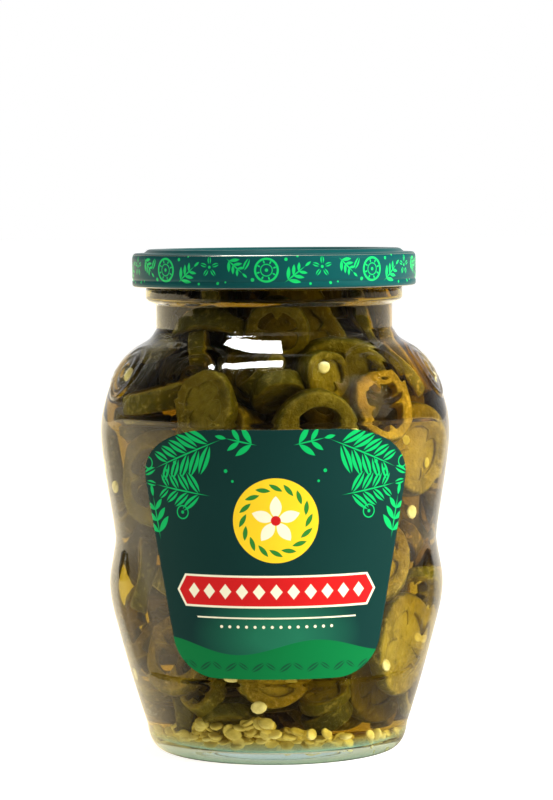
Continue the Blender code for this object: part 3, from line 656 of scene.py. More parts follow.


# pickled pepper: olive skin outside, yellow-olive flesh, paler ribs and pulp; blotched, and each slice's colour is
# scaled by its painted light and tone
def makePepper():
    material, tree, shader = newMaterial("pickledPepper", Roughness=0.38, Specular_IOR_Level=0.12)
    place = objectPlace(tree)
    patch, fine = nodeNoise(tree, place, 85, 4, 0.65), nodeNoise(tree, place, 1100, 3, 0.6)
    flesh = nodeRamp(tree, patch, [(0.32, (0.120, 0.095, 0.006)), (0.50, (0.220, 0.170, 0.014)), (0.70, (0.360, 0.290, 0.040))])
    skin = nodeRamp(tree, patch, [(0.32, (0.060, 0.056, 0.002)), (0.70, (0.150, 0.132, 0.008))])
    pale = nodeRamp(tree, patch, [(0.32, (0.260, 0.220, 0.035)), (0.70, (0.480, 0.420, 0.120))])
    colour = nodeMix(tree, attribute(tree, "inward"), flesh, pale)
    colour = nodeMix(tree, attribute(tree, "skin"), colour, skin)
    colour = nodeMix(tree, nodeMath(tree, "MULTIPLY", fine, 0.25), colour, (0.09, 0.07, 0.005))
    # pale fibres and dark spots
    fibre = nodeNoise(tree, place, 420, 6, 0.75)
    colour = nodeMix(tree, nodeRamp(tree, fibre, [(0.53, 0.0), (0.64, 0.55)]), colour, (0.52, 0.43, 0.13))
    colour = nodeMix(tree, nodeRamp(tree, fibre, [(0.34, 0.55), (0.44, 0.0)]), colour, (0.045, 0.036, 0.002))
    # painted light and shade: each slice's value darkens its colour, or lightens and reddens it
    tone = nodeRamp(tree, attribute(tree, "tone"), [(0.0, (0.48, 0.47, 0.44)), (0.5, (1.0, 0.93, 0.85)), (1.0, (1.62, 1.24, 0.92))])
    tree.links.new(nodeMix(tree, 1.0, colour, tone, "MULTIPLY"), shader.inputs["Base Color"])
    dimple = nodeMath(tree, "ADD", nodeMath(tree, "MULTIPLY", nodeNoise(tree, place, 260, 4, 0.6), 2.2), fine)
    tree.links.new(nodeBump(tree, dimple, 0.55, 0.0007), shader.inputs["Normal"])
    return material


def buildSlices():
    pepper = makePepper()
    nodes = sorted(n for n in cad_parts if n.startswith("slice_"))
    places, held = [], []
    for i, node in enumerate(nodes):
        centre, axes, radius, thickness = cadPlace(node)
        pulp = rng.uniform() < sliceLook["pulpShare"]
        points, faces, skin, inward = sliceArrays(radius * 0.975, thickness * 0.95, 100 + i, pulp)
        if pulp:
            held.append((centre, axes, radius, thickness))
        ring = meshFrom("pepper" + node.title().replace("_", ""), points @ axes.T + centre, faces)
        setFloat(ring, "skin", skin)
        setFloat(ring, "inward", inward)
        setFloat(ring, "tone", np.full(len(points), sliceTone(centre)))
        ring.data.materials.append(pepper)
        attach(ring, "jar")
        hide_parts(node)
        places.append((centre, axes, radius, thickness))
    print("slices:", len(nodes))
    return pepper, places, held


# ball centres that fill a slice, for keeping the loose ones apart
def sliceBalls(centre, axes, radius, thickness):
    ball = thickness / 2
    rings = [(radius - ball, 14), ((radius - ball) * 0.5, 7), (0, 1)]
    local = np.array([(r * math.cos(k * 2 * math.pi / n), r * math.sin(k * 2 * math.pi / n), 0) for r, n in rings for k in range(n)])
    return local @ axes.T + centre, ball


# the inside of the glass at an angle and height
def cavityRadius(angle, z):
    profile = cavityProfile()[2:]
    return np.interp(z, profile[:, 1], profile[:, 0]) - panelDepth(angle, z)


# more slices behind the first ones: many places are tried in order, and a place is kept where it cuts little into the others
def buildInnerSlices(pepper, places):
    balls = [sliceBalls(*place) for place in places]
    centres = np.vstack([b[0] for b in balls])
    sizes = np.concatenate([np.full(len(b[0]), b[1]) for b in balls])
    parts, made = [], 0
    for attempt in range(9000):
        small = attempt > 4500
        radius, thickness = rng.uniform(0.0075, 0.0110) if small else rng.uniform(0.0110, 0.0155), rng.uniform(0.0045, 0.0070)
        axis = rng.normal(size=3)
        axis /= np.linalg.norm(axis)
        side = np.cross(axis, (0.3, 0.2, 0.9))
        side /= np.linalg.norm(side)
        axes = np.column_stack([side, np.cross(axis, side), axis])
        angle, reach, z = rng.uniform(0, 2 * math.pi), 0.044 * math.sqrt(rng.uniform()), rng.uniform(0.014, 0.138)
        if small and attempt % 3:  # near the wall, at the shoulder and low down
            z = rng.uniform(0.102, 0.126) if attempt % 3 == 1 else rng.uniform(0.0125, 0.032)
            reach = float(cavityRadius(np.array(angle), np.array(z))) - rng.uniform(0.006, 0.013)
        centre = np.array([reach * math.cos(angle), reach * math.sin(angle), z])
        spots, ball = sliceBalls(centre, axes, radius, thickness)
        reach = np.hypot(spots[:, 0], spots[:, 1]) + ball * 1.1
        if (reach > cavityRadius(np.arctan2(spots[:, 1], spots[:, 0]), spots[:, 2]) - 0.001).any():
            continue
        if spots[:, 2].min() < 0.0098 or spots[:, 2].max() + ball > 0.1415:
            continue
        gaps = np.linalg.norm(spots[:, None] - centres[None], axis=2) - (ball + sizes)[None]
        hidden = reach.max() < cavityRadius(angle, z) - 0.012  # far in, slices may sink into each other
        if (gaps < -0.0012).sum() > (16 if hidden else 5) or gaps.min() < (-0.0060 if hidden else -0.0032):
            continue
        points, faces, skin, inward = sliceArrays(radius, thickness, 900 + attempt, rng.uniform() < sliceLook["pulpShare"])
        parts.append((points @ axes.T + centre, faces, skin, inward, np.full(len(points), sliceTone(centre))))
        centres, sizes = np.vstack([centres, spots]), np.concatenate([sizes, np.full(len(spots), ball)])
        made += 1
    half = made // 2
    for name, share in (("innerSlices", parts[:half]), ("moreInnerSlices", parts[half:])):
        joined = joinArrays(name, share)
        joined.data.materials.append(pepper)
        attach(joined, "jar")
    print("inner slices:", made)


# one piece from many (points, faces, skin, inward, painted light and tone) parts
def joinArrays(name, parts):
    faces, start = [], 0
    for part in parts:
        faces += [[start + k for k in face] for face in part[1]]
        start += len(part[0])
    joined = meshFrom(name, np.vstack([p[0] for p in parts]), faces)
    for key, index in (("skin", 2), ("inward", 3), ("tone", 4)):
        setFloat(joined, key, np.concatenate([p[index] for p in parts]))
    return joined


# ---------- seeds ----------

seedLook = {"length": 0.00225, "width": 0.00205, "thick": 0.00085}


# a flat round seed: a squashed ball with a raised rim, and a small beak on one side
def seedArrays(scale, seed):
    u, v = np.meshgrid(np.arange(10) * 2 * math.pi / 10, np.linspace(-math.pi / 2, math.pi / 2, 7)[1:-1])
    beak = 1 + 0.10 * np.clip(np.cos(u), 0, 1)**4
    x = seedLook["length"] * beak * np.cos(u) * np.cos(v)**0.7
    y = seedLook["width"] * np.sin(u) * np.cos(v)**0.7
    z = seedLook["thick"] * np.sin(v) * (0.62 + 0.55 * np.cos(v)**2)
    points = np.stack([x, y, z], axis=-1).reshape(-1, 3)
    points = np.vstack([points, (0, 0, -seedLook["thick"] * 0.6), (0, 0, seedLook["thick"] * 0.6)]) * scale
    column, after = np.arange(10), (np.arange(10) + 1) % 10
    faces = gridFaces(5, 10)
    faces += np.stack([column, np.full(10, 50), after], axis=-1).tolist()
    faces += np.stack([40 + column, 40 + after, np.full(10, 51)], axis=-1).tolist()
    return points, faces


def randomAxes():
    axis = rng.normal(size=3)
    axis /= np.linalg.norm(axis)
    side = np.cross(axis, (0.31, 0.11, 0.94))
    side /= np.linalg.norm(side)
    return np.column_stack([side, np.cross(axis, side), axis])


# axes whose third one is turned towards `facing` by a share
def leaningAxes(facing, share):
    axis = np.asarray(facing, float) * share + rng.normal(size=3) * (1 - share) * 0.6
    axis /= np.linalg.norm(axis)
    side = np.cross(axis, (0.31, 0.11, 0.94))
    side /= np.linalg.norm(side)
    spin = rng.uniform(0, 2 * math.pi)
    first = side * math.cos(spin) + np.cross(axis, side) * math.sin(spin)
    return np.column_stack([first, np.cross(axis, first), axis])


def makeSeedMaterial():
    material, tree, shader = newMaterial("pepperSeed", Roughness=0.5, Specular_IOR_Level=0.2)
    place = objectPlace(tree)
    patch, fine = nodeNoise(tree, place, 260, 2), nodeNoise(tree, place, 2600, 2)
    colour = nodeRamp(tree, patch, [(0.35, (0.52, 0.42, 0.15)), (0.65, (0.84, 0.75, 0.38))])
    colour = nodeMix(tree, nodeMath(tree, "MULTIPLY", fine, 0.22), colour, (0.60, 0.44, 0.14))
    tree.links.new(colour, shader.inputs["Base Color"])
    tree.links.new(nodeBump(tree, fine, 0.3, 0.0002), shader.inputs["Normal"])
    return material


def buildSeeds(places, pulpPlaces):
    material = makeSeedMaterial()
    heap, count = [], 0
    # the heap: it lies all round on the floor and stands highest at the front
    for _ in range(420):
        angle = rng.uniform(0, 2 * math.pi)
        front = (1 + math.cos(angle + math.pi / 2 + 0.35)) / 2  # 1 a little left of -Y
        z = 0.0055 + rng.uniform(0, 1) * (0.0012 + 0.0080 * front**6)
        reach = float(cavityRadius(np.array(angle), np.array(z))) - 0.0032 - abs(rng.normal()) * 0.0045
        if rng.uniform() > 0.14 + 0.86 * front**3:
            continue
        centre = np.array([reach * math.cos(angle), reach * math.sin(angle), z])
        points, faces = seedArrays(rng.uniform(0.88, 1.1), count)
        axes = leaningAxes((math.cos(angle) * 0.8, math.sin(angle) * 0.8, 0.7), 0.55)
        heap.append((points @ axes.T + centre, faces))
        count += 1
    # single ones held between slices and glass
    singles = []
    taken = np.full((1, 3), 9.0)
    for _ in range(34):
        angle, z = rng.uniform(0, 2 * math.pi), rng.uniform(0.018, 0.120)
        reach = float(cavityRadius(np.array(angle), np.array(z))) - 0.0012
        centre = np.array([reach * math.cos(angle), reach * math.sin(angle), z])
        if min(np.linalg.norm(centre - p[0]) - p[2] for p in places) < -0.004 and rng.uniform() < 0.6:
            continue
        if np.linalg.norm(taken - centre, axis=1).min() < 0.0055:
            continue
        taken = np.vstack([taken, centre])
        points, faces = seedArrays(rng.uniform(0.85, 1.05), count)
        axes = leaningAxes((math.cos(angle), math.sin(angle), 0), 0.8)
        singles.append((points @ axes.T + centre, faces))
    # some still sit flat in the pulp of their slices, on both cut faces
    for centre, axes, radius, thickness in pulpPlaces:
        for k in range(int(rng.integers(3, 7))):
            turn, reach, side = rng.uniform(0, 2 * math.pi), radius * rng.uniform(0.30, 0.52), rng.choice((-1, 1))
            spot = centre + axes @ np.array([reach * math.cos(turn), reach * math.sin(turn), side * thickness * 0.31])
            points, faces = seedArrays(rng.uniform(0.68, 0.85), k)
            lie = leaningAxes(axes[:, 2], 0.85)
            singles.append((points @ lie.T + spot, faces))
    for name, parts in (("seedHeap", heap), ("looseSeeds", singles)):
        faces, start = [], 0
        for part in parts:
            faces += [[start + k for k in face] for face in part[1]]
            start += len(part[0])
        piece = meshFrom(name, np.vstack([p[0] for p in parts]), faces)
        piece.data.materials.append(material)
        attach(piece, "jar")
        if name == "seedHeap":
            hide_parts("seeds")
    print("seeds:", len(heap), len(singles))


# ---------- label ----------

labelLook = {
    "ground": ((0.0042, 0.032, 0.027), (0.0058, 0.041, 0.034)),
    "leaf": (0.003, 0.480, 0.110),
    "hill": (0.002, 0.168, 0.040),
    "yellow": (0.95, 0.62, 0.02),
    "red": (0.62, 0.012, 0.012),
    "cream": (0.93, 0.86, 0.60),
}


# a sheet on the panel's cone: place across = share * half width at that height; two layers and a rim close it
def buildLabel():
    s = labelShape
    share = np.linspace(-1, 1, s["across"] + 1)
    v = np.linspace(0, math.pi, s["up"] + 1)
    z = s["bottom"] + (s["top"] - s["bottom"]) * (1 - np.cos(v)) / 2
    arc = share[None] * labelHalf(z)[:, None]
    turn = arc / panelRadius(z)[:, None]
    layers = []
    for lift in (s["gap"], s["gap"] + s["thickness"]):
        radius = (panelRadius(z) + lift)[:, None]
        layers.append(np.stack([radius * np.sin(turn), -radius * np.cos(turn), np.broadcast_to(z[:, None], turn.shape)], axis=-1).reshape(-1, 3))
    rows, columns = turn.shape
    back = [f[::-1] for f in gridFaces(rows, columns, 0, False)]
    front = gridFaces(rows, columns, rows * columns, False)
    grid = np.arange(rows * columns).reshape(rows, columns)
    edge = np.concatenate([grid[0], grid[1:, -1], grid[-1, -2::-1], grid[-2:0:-1, 0]])
    after = np.roll(edge, -1)
    rim = np.stack([edge, after, after + rows * columns, edge + rows * columns], axis=-1).tolist()
    label = meshFrom("frontLabel", np.vstack(layers), back + front + rim)
    setFloat(label, "printed", np.repeat([0.0, 1.0], rows * columns))
    setFloat(label, "across", np.tile(arc.ravel() / mm, 2))
    setFloat(label, "up", np.tile(np.broadcast_to(((z - s["bottom"]) / mm)[:, None], turn.shape).ravel(), 2))
    label.data.materials.append(makeLabelPaper())
    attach(label, "jar")
    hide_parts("label")


def makeLabelPaper():
    material, tree, shader = newMaterial("printedLabelPaper", Roughness=0.5, Specular_IOR_Level=0.06)
    across, up = attribute(tree, "across"), attribute(tree, "up")
    place = objectPlace(tree)
    cloth = nodeNoise(tree, place, 24, 2)
    ground = nodeMix(tree, cloth, labelLook["ground"][0], labelLook["ground"][1])
    # a soft glow low in the middle
    dx = nodeMath(tree, "MULTIPLY", across, 1 / 26)
    dy = nodeMath(tree, "MULTIPLY", nodeMath(tree, "SUBTRACT", up, 13.0), 1 / 15)
    far = nodeMath(tree, "SQRT", nodeMath(tree, "ADD", nodeMath(tree, "MULTIPLY", dx, dx), nodeMath(tree, "MULTIPLY", dy, dy)))
    ground = nodeMix(tree, nodeRamp(tree, far, [(0.25, 0.55), (1.0, 0.0)]), ground, (0.020, 0.240, 0.110))
    # the wave of brighter green along the foot
    crest = nodeMath(tree, "ADD", nodeMath(tree, "MULTIPLY", nodeMath(tree, "SINE", nodeMath(tree, "MULTIPLY", across, 0.135)), 2.2), 9.5)
    below = nodeMath(tree, "DIVIDE", nodeMath(tree, "SUBTRACT", crest, up), 0.15, clamp=True)
    colour = nodeMix(tree, below, ground, labelLook["hill"])
    # sprigs over the top corners, the same on both sides
    side = nodeMath(tree, "ABSOLUTE", across)
    sprigs = sprigMarks(15, 71, -22, 26, 5, 5.0, 1.5, 0.22) + sprigMarks(19, 54, 8, 20, 4, 4.0, 1.25, 0.2)
    sprigs += sprigMarks(37, 40, 78, 14, 3, 3.2, 1.0) + sprigMarks(5, 69, 12, 10, 2, 3.0, 0.9)
    sprigs += [("ring", 31, 63.5, 0, 1.3), ("ring", 34, 61, 0, 1.0), ("ring", 14.5, 61.5, 0, 1.2), ("ring", 12.5, 58.5, 0, 0.9),
               ("ring", 41.5, 63, 1.7, 0.5), ("ring", 28.5, 49.0, 1.9, 0.5), ("ring", 28.5, 49.0, 0, 1.1)]
    colour = nodeMix(tree, drawMarks(tree, side, up, sprigs), colour, labelLook["leaf"])
    # the yellow disc with its blossom
    disc = [("ring", 0, 47, 0, 25.0)]
    colour = nodeMix(tree, drawMarks(tree, across, up, disc), colour, labelLook["yellow"])
    wreath = [("leaf", 9.6 * math.cos(a), 47 + 9.6 * math.sin(a), math.degrees(a) + 62, 2.3, 0.75) for a in np.arange(16) * math.pi / 8]
    colour = nodeMix(tree, drawMarks(tree, across, up, wreath), colour, (0.03, 0.22, 0.03))
    petals = [("leaf", 3.9 * math.cos(a), 47 + 3.9 * math.sin(a), math.degrees(a), 3.4, 1.75) for a in np.radians(np.arange(5) * 72 + 90)]
    colour = nodeMix(tree, drawMarks(tree, across, up, petals), colour, labelLook["cream"])
    colour = nodeMix(tree, drawMarks(tree, across, up, [("ring", 0, 47, 0, 3.0)]), colour, labelLook["red"])
    # the red band with cream edges and a row of lozenges
    band = nodeMath(tree, "ABSOLUTE", nodeMath(tree, "SUBTRACT", up, 26.0))
    ends = nodeMath(tree, "DIVIDE", nodeMath(tree, "SUBTRACT", nodeMath(tree, "SUBTRACT", 31.0, side), nodeMath(tree, "MULTIPLY", band, 0.6)), 0.15, clamp=True)
    cream = nodeMath(tree, "MULTIPLY", nodeMath(tree, "DIVIDE", nodeMath(tree, "SUBTRACT", 4.9, band), 0.15, clamp=True), ends)
    colour = nodeMix(tree, cream, colour, labelLook["cream"])
    red = nodeMath(tree, "MULTIPLY", nodeMath(tree, "DIVIDE", nodeMath(tree, "SUBTRACT", 4.3, band), 0.15, clamp=True),
                   nodeMath(tree, "DIVIDE", nodeMath(tree, "SUBTRACT", nodeMath(tree, "SUBTRACT", 30.2, side), nodeMath(tree, "MULTIPLY", band, 0.6)), 0.15, clamp=True))
    colour = nodeMix(tree, red, colour, labelLook["red"])
    cell = nodeMath(tree, "SUBTRACT", nodeMath(tree, "MULTIPLY", nodeMath(tree, "FRACT", nodeMath(tree, "DIVIDE", nodeMath(tree, "ADD", across, 102.5), 5.0)), 5.0), 2.5)
    lozenge = nodeMath(tree, "DIVIDE", nodeMath(tree, "SUBTRACT", 1.9, nodeMath(tree, "ADD", nodeMath(tree, "ABSOLUTE", cell), nodeMath(tree, "MULTIPLY", band, 0.8))), 0.2, clamp=True)
    lozenge = nodeMath(tree, "MULTIPLY", lozenge, nodeMath(tree, "LESS_THAN", side, 27.4))
    colour = nodeMix(tree, lozenge, colour, labelLook["cream"])
    # two thin cream lines and a dotted row under the band
    line = nodeMath(tree, "DIVIDE", nodeMath(tree, "SUBTRACT", 0.28, nodeMath(tree, "ABSOLUTE", nodeMath(tree, "SUBTRACT", up, 18.2))), 0.12, clamp=True)
    line = nodeMath(tree, "MULTIPLY", line, nodeMath(tree, "LESS_THAN", side, 24.0))
    dots = nodeMath(tree, "SUBTRACT", nodeMath(tree, "MULTIPLY", nodeMath(tree, "FRACT", nodeMath(tree, "DIVIDE", nodeMath(tree, "ADD", across, 100.0), 2.5)), 2.5), 1.25)
    dotRow = drawMarks(tree, dots, up, [("ring", 0, 15.6, 0, 1.0)])
    dotRow = nodeMath(tree, "MULTIPLY", dotRow, nodeMath(tree, "LESS_THAN", side, 17.4))
    colour = nodeMix(tree, nodeMath(tree, "MAXIMUM", line, dotRow), colour, labelLook["cream"])
    # dark leaves in a row on the wave
    cell = nodeMath(tree, "SUBTRACT", nodeMath(tree, "MULTIPLY", nodeMath(tree, "FRACT", nodeMath(tree, "DIVIDE", nodeMath(tree, "ADD", across, 104.0), 8.0)), 8.0), 4.0)
    row = drawMarks(tree, cell, up, [("leaf", -1.5, 3.6, 35, 2.6, 0.8, 0.12), ("leaf", 2.2, 3.9, 145, 2.2, 0.65, 0.12)])
    colour = nodeMix(tree, nodeMath(tree, "MULTIPLY", row, below), colour, (0.006, 0.075, 0.030))
    paper = nodeMix(tree, nodeNoise(tree, place, 400, 2), (0.74, 0.72, 0.66), (0.84, 0.83, 0.79))
    colour = nodeMix(tree, nodeMath(tree, "GREATER_THAN", attribute(tree, "printed"), 0.98), paper, colour)
    tree.links.new(colour, shader.inputs["Base Color"])
    tree.links.new(nodeBump(tree, nodeNoise(tree, place, 1500, 3), 0.05, 0.0002), shader.inputs["Normal"])
    return material


# ---------- lid and liner ----------

lidShape = {"columns": 240, "radius": 0.0430, "bottom": 0.1406, "shoulder": 0.1507, "top": 0.1519, "sheet": 0.0003,
            "panel": 0.1509, "ring": (0.0340, 0.0382), "curl": (0.0411, 0.0018)}
lidLook = {"ground": (0.003, 0.068, 0.066), "art": (0.008, 0.60, 0.13), "bare": (0.60, 0.62, 0.60)}


def lidProfile():
    s = lidShape
    radius, low, top, shoulder = s["radius"], s["bottom"], s["top"], s["shoulder"]
    outer = [(0.0105, s["panel"] + 0.0005), (0.0112, s["panel"]), (s["ring"][0] - 0.0012, s["panel"]),
             (s["ring"][0], top), (s["ring"][1], top), (s["ring"][1] + 0.0012, shoulder + 0.0001),
             (radius - 0.0005, shoulder), (radius, shoulder - 0.0012), (radius, low + 0.0026),
             (radius - 0.00025, low + 0.0021), (radius, low + 0.0016)]
    outer = roundedProfile([(0, s["panel"] + 0.0005)] + outer, 0.0006, 4)
    curlMiddle, curlReach = radius - 0.00095, 0.00095
    t = np.radians(np.linspace(15, -230, 22))
    curl = np.column_stack([curlMiddle + curlReach * np.cos(t), low + 0.00095 + curlReach * np.sin(t)])
    inner = roundedProfile([(radius - s["sheet"], low + 0.0024), (radius - s["sheet"], shoulder - 0.0014),
                            (radius - 0.0016, shoulder - s["sheet"]), (s["ring"][1] + 0.0011, shoulder - s["sheet"]),
                            (s["ring"][1] - 0.0002, top - s["sheet"]), (s["ring"][0] + 0.0002, top - s["sheet"]),
                            (s["ring"][0] - 0.0014, s["panel"] - s["sheet"]), (0, s["panel"] - s["sheet"])], 0.0005, 3)
    return np.vstack([outer, curl, inner])


# six lugs: the curl's inner edge pressed flat inwards, thick at the root and rounded at the tip
def lidLugs():
    turn = np.linspace(-6, 6, 17)
    across = np.linspace(0, 1, 9)
    parts, faces = [], []
    for lug in range(6):
        reach = 0.0025 * np.sqrt(np.clip(1 - (turn / 6.4)**4, 0, 1))
        radius = 0.0414 - across[None] * reach[:, None]
        angle = np.radians(turn + lug * 60)[:, None]
        top = 0.1416 - 0.00008 * across[None]**2
        start = sum(len(p) for p in parts)
        for layer, z in enumerate((top - 0.0007, top)):
            z = np.broadcast_to(z, radius.shape)
            parts.append(np.stack([radius * np.cos(angle), radius * np.sin(angle), z], axis=-1).reshape(-1, 3))
        grid = np.arange(17 * 9).reshape(17, 9)
        faces += gridFaces(17, 9, start, False)
        faces += [f[::-1] for f in gridFaces(17, 9, start + 153, False)]
        edge = np.concatenate([grid[0], grid[1:, -1], grid[-1, -2::-1], grid[-2:0:-1, 0]]) + start
        after = np.roll(edge, -1)
        faces += np.stack([edge + 153, after + 153, after, edge], axis=-1).tolist()
    return meshFrom("lugs", np.vstack(parts), faces)


def buildLid():
    lid = turnedPiece("printedLid", lidProfile()[::-1], lidShape["columns"])
    joinInto(lid, lidLugs())
    lid.data.materials.append(makeLidPrint())
    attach(lid, "lid")
    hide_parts("lid")


# artwork repeats eight times: on the skirt it runs along the circumference, on the top round a wreath
def makeLidPrint():
    material, tree, shader = newMaterial("printedLidSteel", Roughness=0.3, Specular_IOR_Level=0.15)
    place = tree.nodes.new("ShaderNodeSeparateXYZ")
    tree.links.new(objectPlace(tree), place.inputs[0])
    x, y, z = place.outputs
    radius = nodeMath(tree, "SQRT", nodeMath(tree, "ADD", nodeMath(tree, "MULTIPLY", x, x), nodeMath(tree, "MULTIPLY", y, y)))
    turn = nodeMath(tree, "MULTIPLY", nodeMath(tree, "ARCTAN2", y, x), 8 / (2 * math.pi))
    period = nodeMath(tree, "SUBTRACT", nodeMath(tree, "FRACT", nodeMath(tree, "ADD", turn, 8.2)), 0.5)
    side = nodeMath(tree, "GREATER_THAN", radius, 0.0426)
    across = nodeMath(tree, "MULTIPLY", period, 33.77)
    up = nodeMath(tree, "MULTIPLY", nodeMath(tree, "SUBTRACT", z, 0.1459), 1000)
    marks = [("ring", -12.3, 0.2, 3.3, 0.75), ("ring", -12.3, 0.2, 1.7, 0.4), ("ring", -12.3, 0.2, 0, 1.1)]
    marks += [("leaf", -12.3 + 2.5 * math.cos(a), 0.2 + 2.5 * math.sin(a), math.degrees(a), 0.62, 0.3) for a in np.arange(8) * math.pi / 4 + 0.3]
    marks += sprigMarks(-7.2, -3.6, 38, 8.2, 3, 2.0, 0.62) + sprigMarks(9.4, 3.8, -42, 7.0, 3, 1.7, 0.55)
    marks += [("leaf", 4.2 + 2.0 * math.cos(a), 1.1 + 2.0 * math.sin(a), math.degrees(a), 1.35, 0.62, 0.12) for a in np.radians(np.arange(5) * 72 + 18)]
    marks += [("ring", 4.2, 1.1, 0, 1.0), ("ring", -6.6, 3.3, 0, 1.1), ("ring", -3.2, 4.2, 0, 0.8), ("ring", 6.8, -3.6, 0, 1.0),
              ("ring", 9.2, -3.3, 0, 0.7), ("ring", 0.6, -3.8, 0, 0.9), ("ring", -16.4, -2.6, 0, 1.2), ("leaf", 15.6, 1.9, 62, 2.2, 0.8, 0.14)]
    sideArt = drawMarks(tree, across, up, marks)
    topAcross = nodeMath(tree, "MULTIPLY", period, 19.6)
    topUp = nodeMath(tree, "MULTIPLY", nodeMath(tree, "SUBTRACT", radius, 0.025), 1000)
    topMarks = sprigMarks(-8.5, -2.0, 16, 14.5, 5, 2.9, 0.85, 0.12) + [("ring", 4.5, 6.0, 0, 1.3), ("ring", 0.5, 6.4, 0, 0.9),
                ("ring", -4.5, -5.2, 1.6, 0.5), ("ring", -4.5, -5.2, 0, 0.9), ("leaf", 3.4, -6.4, 8, 2.6, 0.8, 0.12)]
    topArt = drawMarks(tree, topAcross, topUp, topMarks)
    topArt = nodeMath(tree, "MULTIPLY", topArt, nodeMath(tree, "LESS_THAN", radius, 0.0332))
    rings = nodeMath(tree, "DIVIDE", nodeMath(tree, "SUBTRACT", 0.00025, nodeMath(tree, "ABSOLUTE", nodeMath(tree, "SUBTRACT", radius, 0.0130))), 0.00012, clamp=True)
    topArt = nodeMath(tree, "MAXIMUM", topArt, rings)
    art = nodeMath(tree, "ADD", nodeMath(tree, "MULTIPLY", sideArt, side), nodeMath(tree, "MULTIPLY", topArt, nodeMath(tree, "SUBTRACT", 1.0, side)))
    lacquer = nodeNoise(tree, objectPlace(tree), 60, 2)
    ground = nodeMix(tree, lacquer, lidLook["ground"], (0.004, 0.088, 0.084))
    colour = nodeMix(tree, art, ground, lidLook["art"])
    # bare gold lacquer inside and on the curl
    inside = nodeMath(tree, "MULTIPLY", nodeMath(tree, "LESS_THAN", radius, 0.04268), nodeMath(tree, "LESS_THAN", z, 0.15035))
    colour = nodeMix(tree, inside, colour, (0.70, 0.66, 0.55))
    tree.links.new(colour, shader.inputs["Base Color"])
    tree.links.new(nodeMath(tree, "MULTIPLY", inside, 0.8), shader.inputs["Metallic"])
    tree.links.new(nodeMath(tree, "ADD", nodeMath(tree, "MULTIPLY", lacquer, 0.12), 0.28), shader.inputs["Roughness"])
    tree.links.new(nodeBump(tree, nodeNoise(tree, objectPlace(tree), 900, 2), 0.04, 0.0002), shader.inputs["Normal"])
    return material


def finishLiner():
    material, tree, shader = newMaterial("sealingCompound", Roughness=0.5)
    speck = nodeNoise(tree, objectPlace(tree), 700, 3)
    tree.links.new(nodeMix(tree, speck, (0.62, 0.60, 0.54), (0.78, 0.77, 0.72)), shader.inputs["Base Color"])
    tree.links.new(nodeBump(tree, speck, 0.15, 0.0003), shader.inputs["Normal"])
    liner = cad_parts["lid_liner"]
    for slot in liner.material_slots:
        slot.material = material


# ---------- studio ----------

studio = {"floor": (0.60, 0.60, 0.60), "mirroredFloor": [  # round the jar from the back over the left, the front and the right
              (0.0, (1.0, 0.90, 0.70)), (0.29, (0.90, 0.75, 0.48)), (0.37, (0.05, 0.04, 0.025)), (0.62, (0.05, 0.04, 0.03)),
              (0.72, (0.32, 0.28, 0.20)), (1.0, (0.9, 0.85, 0.75))],
          "lens": 137.7, "cameraAt": (0.00047, -0.930, 0.1625), "pitch": 3.49, "roll": -0.45}


def areaLight(name, size, place, aim, power, colour=(1, 1, 1)):
    light = bpy.data.lights.new(name, "AREA")
    light.shape = "RECTANGLE"
    light.size, light.size_y = size
    light.energy = power
    light.color = colour
    lamp = bpy.data.objects.new(name, light)
    lamp.location = place
    lamp.rotation_euler = (Vector(aim) - Vector(place)).to_track_quat("-Z", "Y").to_euler()
    bpy.context.scene.collection.objects.link(lamp)
    return lamp


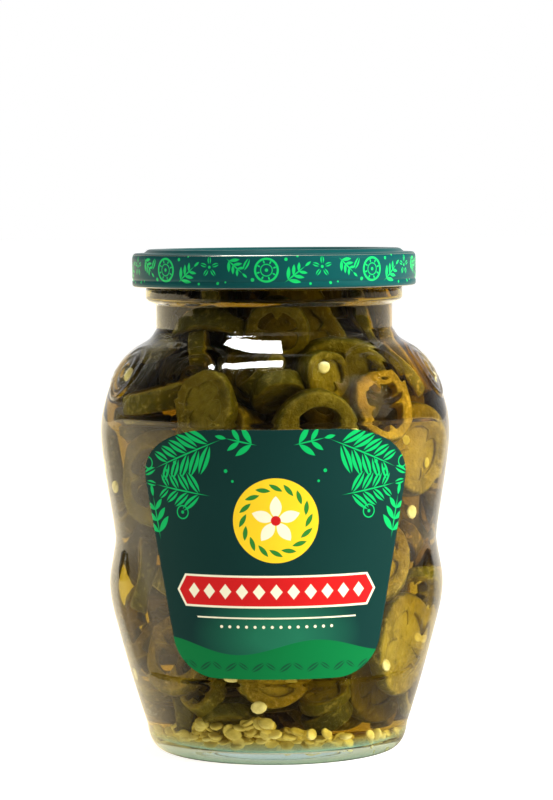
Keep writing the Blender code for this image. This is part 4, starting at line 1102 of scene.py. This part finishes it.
def buildStudio():
    scene = bpy.context.scene
    scene.view_settings.view_transform = "Standard"
    corners = np.array([(-9, -0.32, -0.0002), (9, -0.32, -0.0002), (9, 18, -0.0002), (-9, 18, -0.0002)])
    floor = meshFrom("paleFloor", corners, [[0, 1, 2, 3]], False)
    # a white table, lit from within a little so that it stays white as far as the eye sees
    material, tree, shader = newMaterial("paleFloorPaint", Base_Color=studio["floor"], Roughness=0.9, Specular_IOR_Level=0.1,
                                         Emission_Color=(1.0, 1.0, 1.0), Emission_Strength=0.74)
    # in the glass the floor shows a painted reflection instead: an emission, dim in front of the jar and brighter
    # behind it
    path = tree.nodes.new("ShaderNodeLightPath")
    mirrored = nodeMath(tree, "SUBTRACT", path.outputs["Is Glossy Ray"], path.outputs["Is Transmission Ray"], clamp=True)
    mirrored = nodeMath(tree, "MULTIPLY", mirrored, nodeMath(tree, "LESS_THAN", path.outputs["Ray Depth"], 1.5))
    place = tree.nodes.new("ShaderNodeSeparateXYZ")
    tree.links.new(objectPlace(tree), place.inputs[0])
    turn = nodeMath(tree, "ARCTAN2", place.outputs[0], nodeMath(tree, "MULTIPLY", place.outputs[1], -1.0))
    around = nodeMath(tree, "ADD", nodeMath(tree, "MULTIPLY", turn, 0.5 / math.pi), 0.5)
    dim = tree.nodes.new("ShaderNodeEmission")
    tree.links.new(nodeRamp(tree, around, studio["mirroredFloor"]), dim.inputs["Color"])
    dim.inputs["Strength"].default_value = 1.6
    mix = tree.nodes.new("ShaderNodeMixShader")
    tree.links.new(mirrored, mix.inputs[0])
    tree.links.new(shader.outputs[0], mix.inputs[1])
    tree.links.new(dim.outputs[0], mix.inputs[2])
    tree.links.new(mix.outputs[0], tree.nodes["Material Output"].inputs["Surface"])
    floor.data.materials.append(material)
    # white to the eye and through the glass; gloss sees a white backdrop behind the jar and a dim room in front
    world = bpy.data.worlds.new("studioWorld")
    world.use_nodes = True
    scene.world = world
    tree = world.node_tree
    background = tree.nodes["Background"]
    path = tree.nodes.new("ShaderNodeLightPath")
    place = tree.nodes.new("ShaderNodeTexCoord").outputs["Generated"]
    split = tree.nodes.new("ShaderNodeSeparateXYZ")
    tree.links.new(place, split.inputs[0])
    behind = nodeRamp(tree, nodeMath(tree, "ADD", nodeMath(tree, "MULTIPLY", split.outputs[1], 0.5), 0.5),
                      [(0.60, (0.010, 0.009, 0.008)), (0.82, (0.09, 0.085, 0.08)), (0.93, (0.50, 0.49, 0.47)), (1.0, (1.0, 1.0, 1.0))])
    around = nodeRamp(tree, nodeMath(tree, "ADD", nodeMath(tree, "MULTIPLY", split.outputs[1], 0.5), 0.5),
                      [(0.2, (0.36, 0.36, 0.36)), (0.8, (0.62, 0.62, 0.62))])
    eye = nodeMath(tree, "MAXIMUM", path.outputs["Is Camera Ray"], path.outputs["Is Transmission Ray"])
    colour = nodeMix(tree, path.outputs["Is Diffuse Ray"], behind, around)
    colour = nodeMix(tree, eye, colour, (1.0, 1.0, 1.0))
    tree.links.new(colour, background.inputs["Color"])
    # the box above is there for its mirror image in the glass; the others light, and leave no image
    areaLight("softboxAbove", (0.51, 0.21), (-0.195, -0.195, 1.02), (-0.195, -0.195, 0), 11).visible_diffuse = False
    for name, size, place, power in (("fillAbove", (0.8, 0.8), (0, 0.0, 1.0), 2.5), ("keyRight", (0.7, 0.9), (1.1, -0.35, 0.70), 30),
                                     ("rearLeft", (0.5, 0.9), (-0.9, 0.9, 0.5), 5)):
        areaLight(name, size, place, (0, 0, 0.08), power).visible_glossy = False
    camera = bpy.data.cameras.new("photoCamera")
    camera.lens = studio["lens"]
    camera.clip_start = 0.05
    cameraObject = bpy.data.objects.new("photoCamera", camera)
    cameraObject.matrix_world = (Matrix.Translation(studio["cameraAt"]) @ Matrix.Rotation(math.radians(90 - studio["pitch"]), 4, "X")
                                 @ Matrix.Rotation(math.radians(studio["roll"]), 4, "Z"))
    scene.collection.objects.link(cameraObject)
    scene.camera = cameraObject


buildJar()
print("jar")
buildBrine()
pepperMaterial, slicePlaces, pulpPlaces = buildSlices()
buildInnerSlices(pepperMaterial, slicePlaces)
buildSeeds(slicePlaces, pulpPlaces)
buildLabel()
buildLid()
finishLiner()
print("label and lid")
buildStudio()
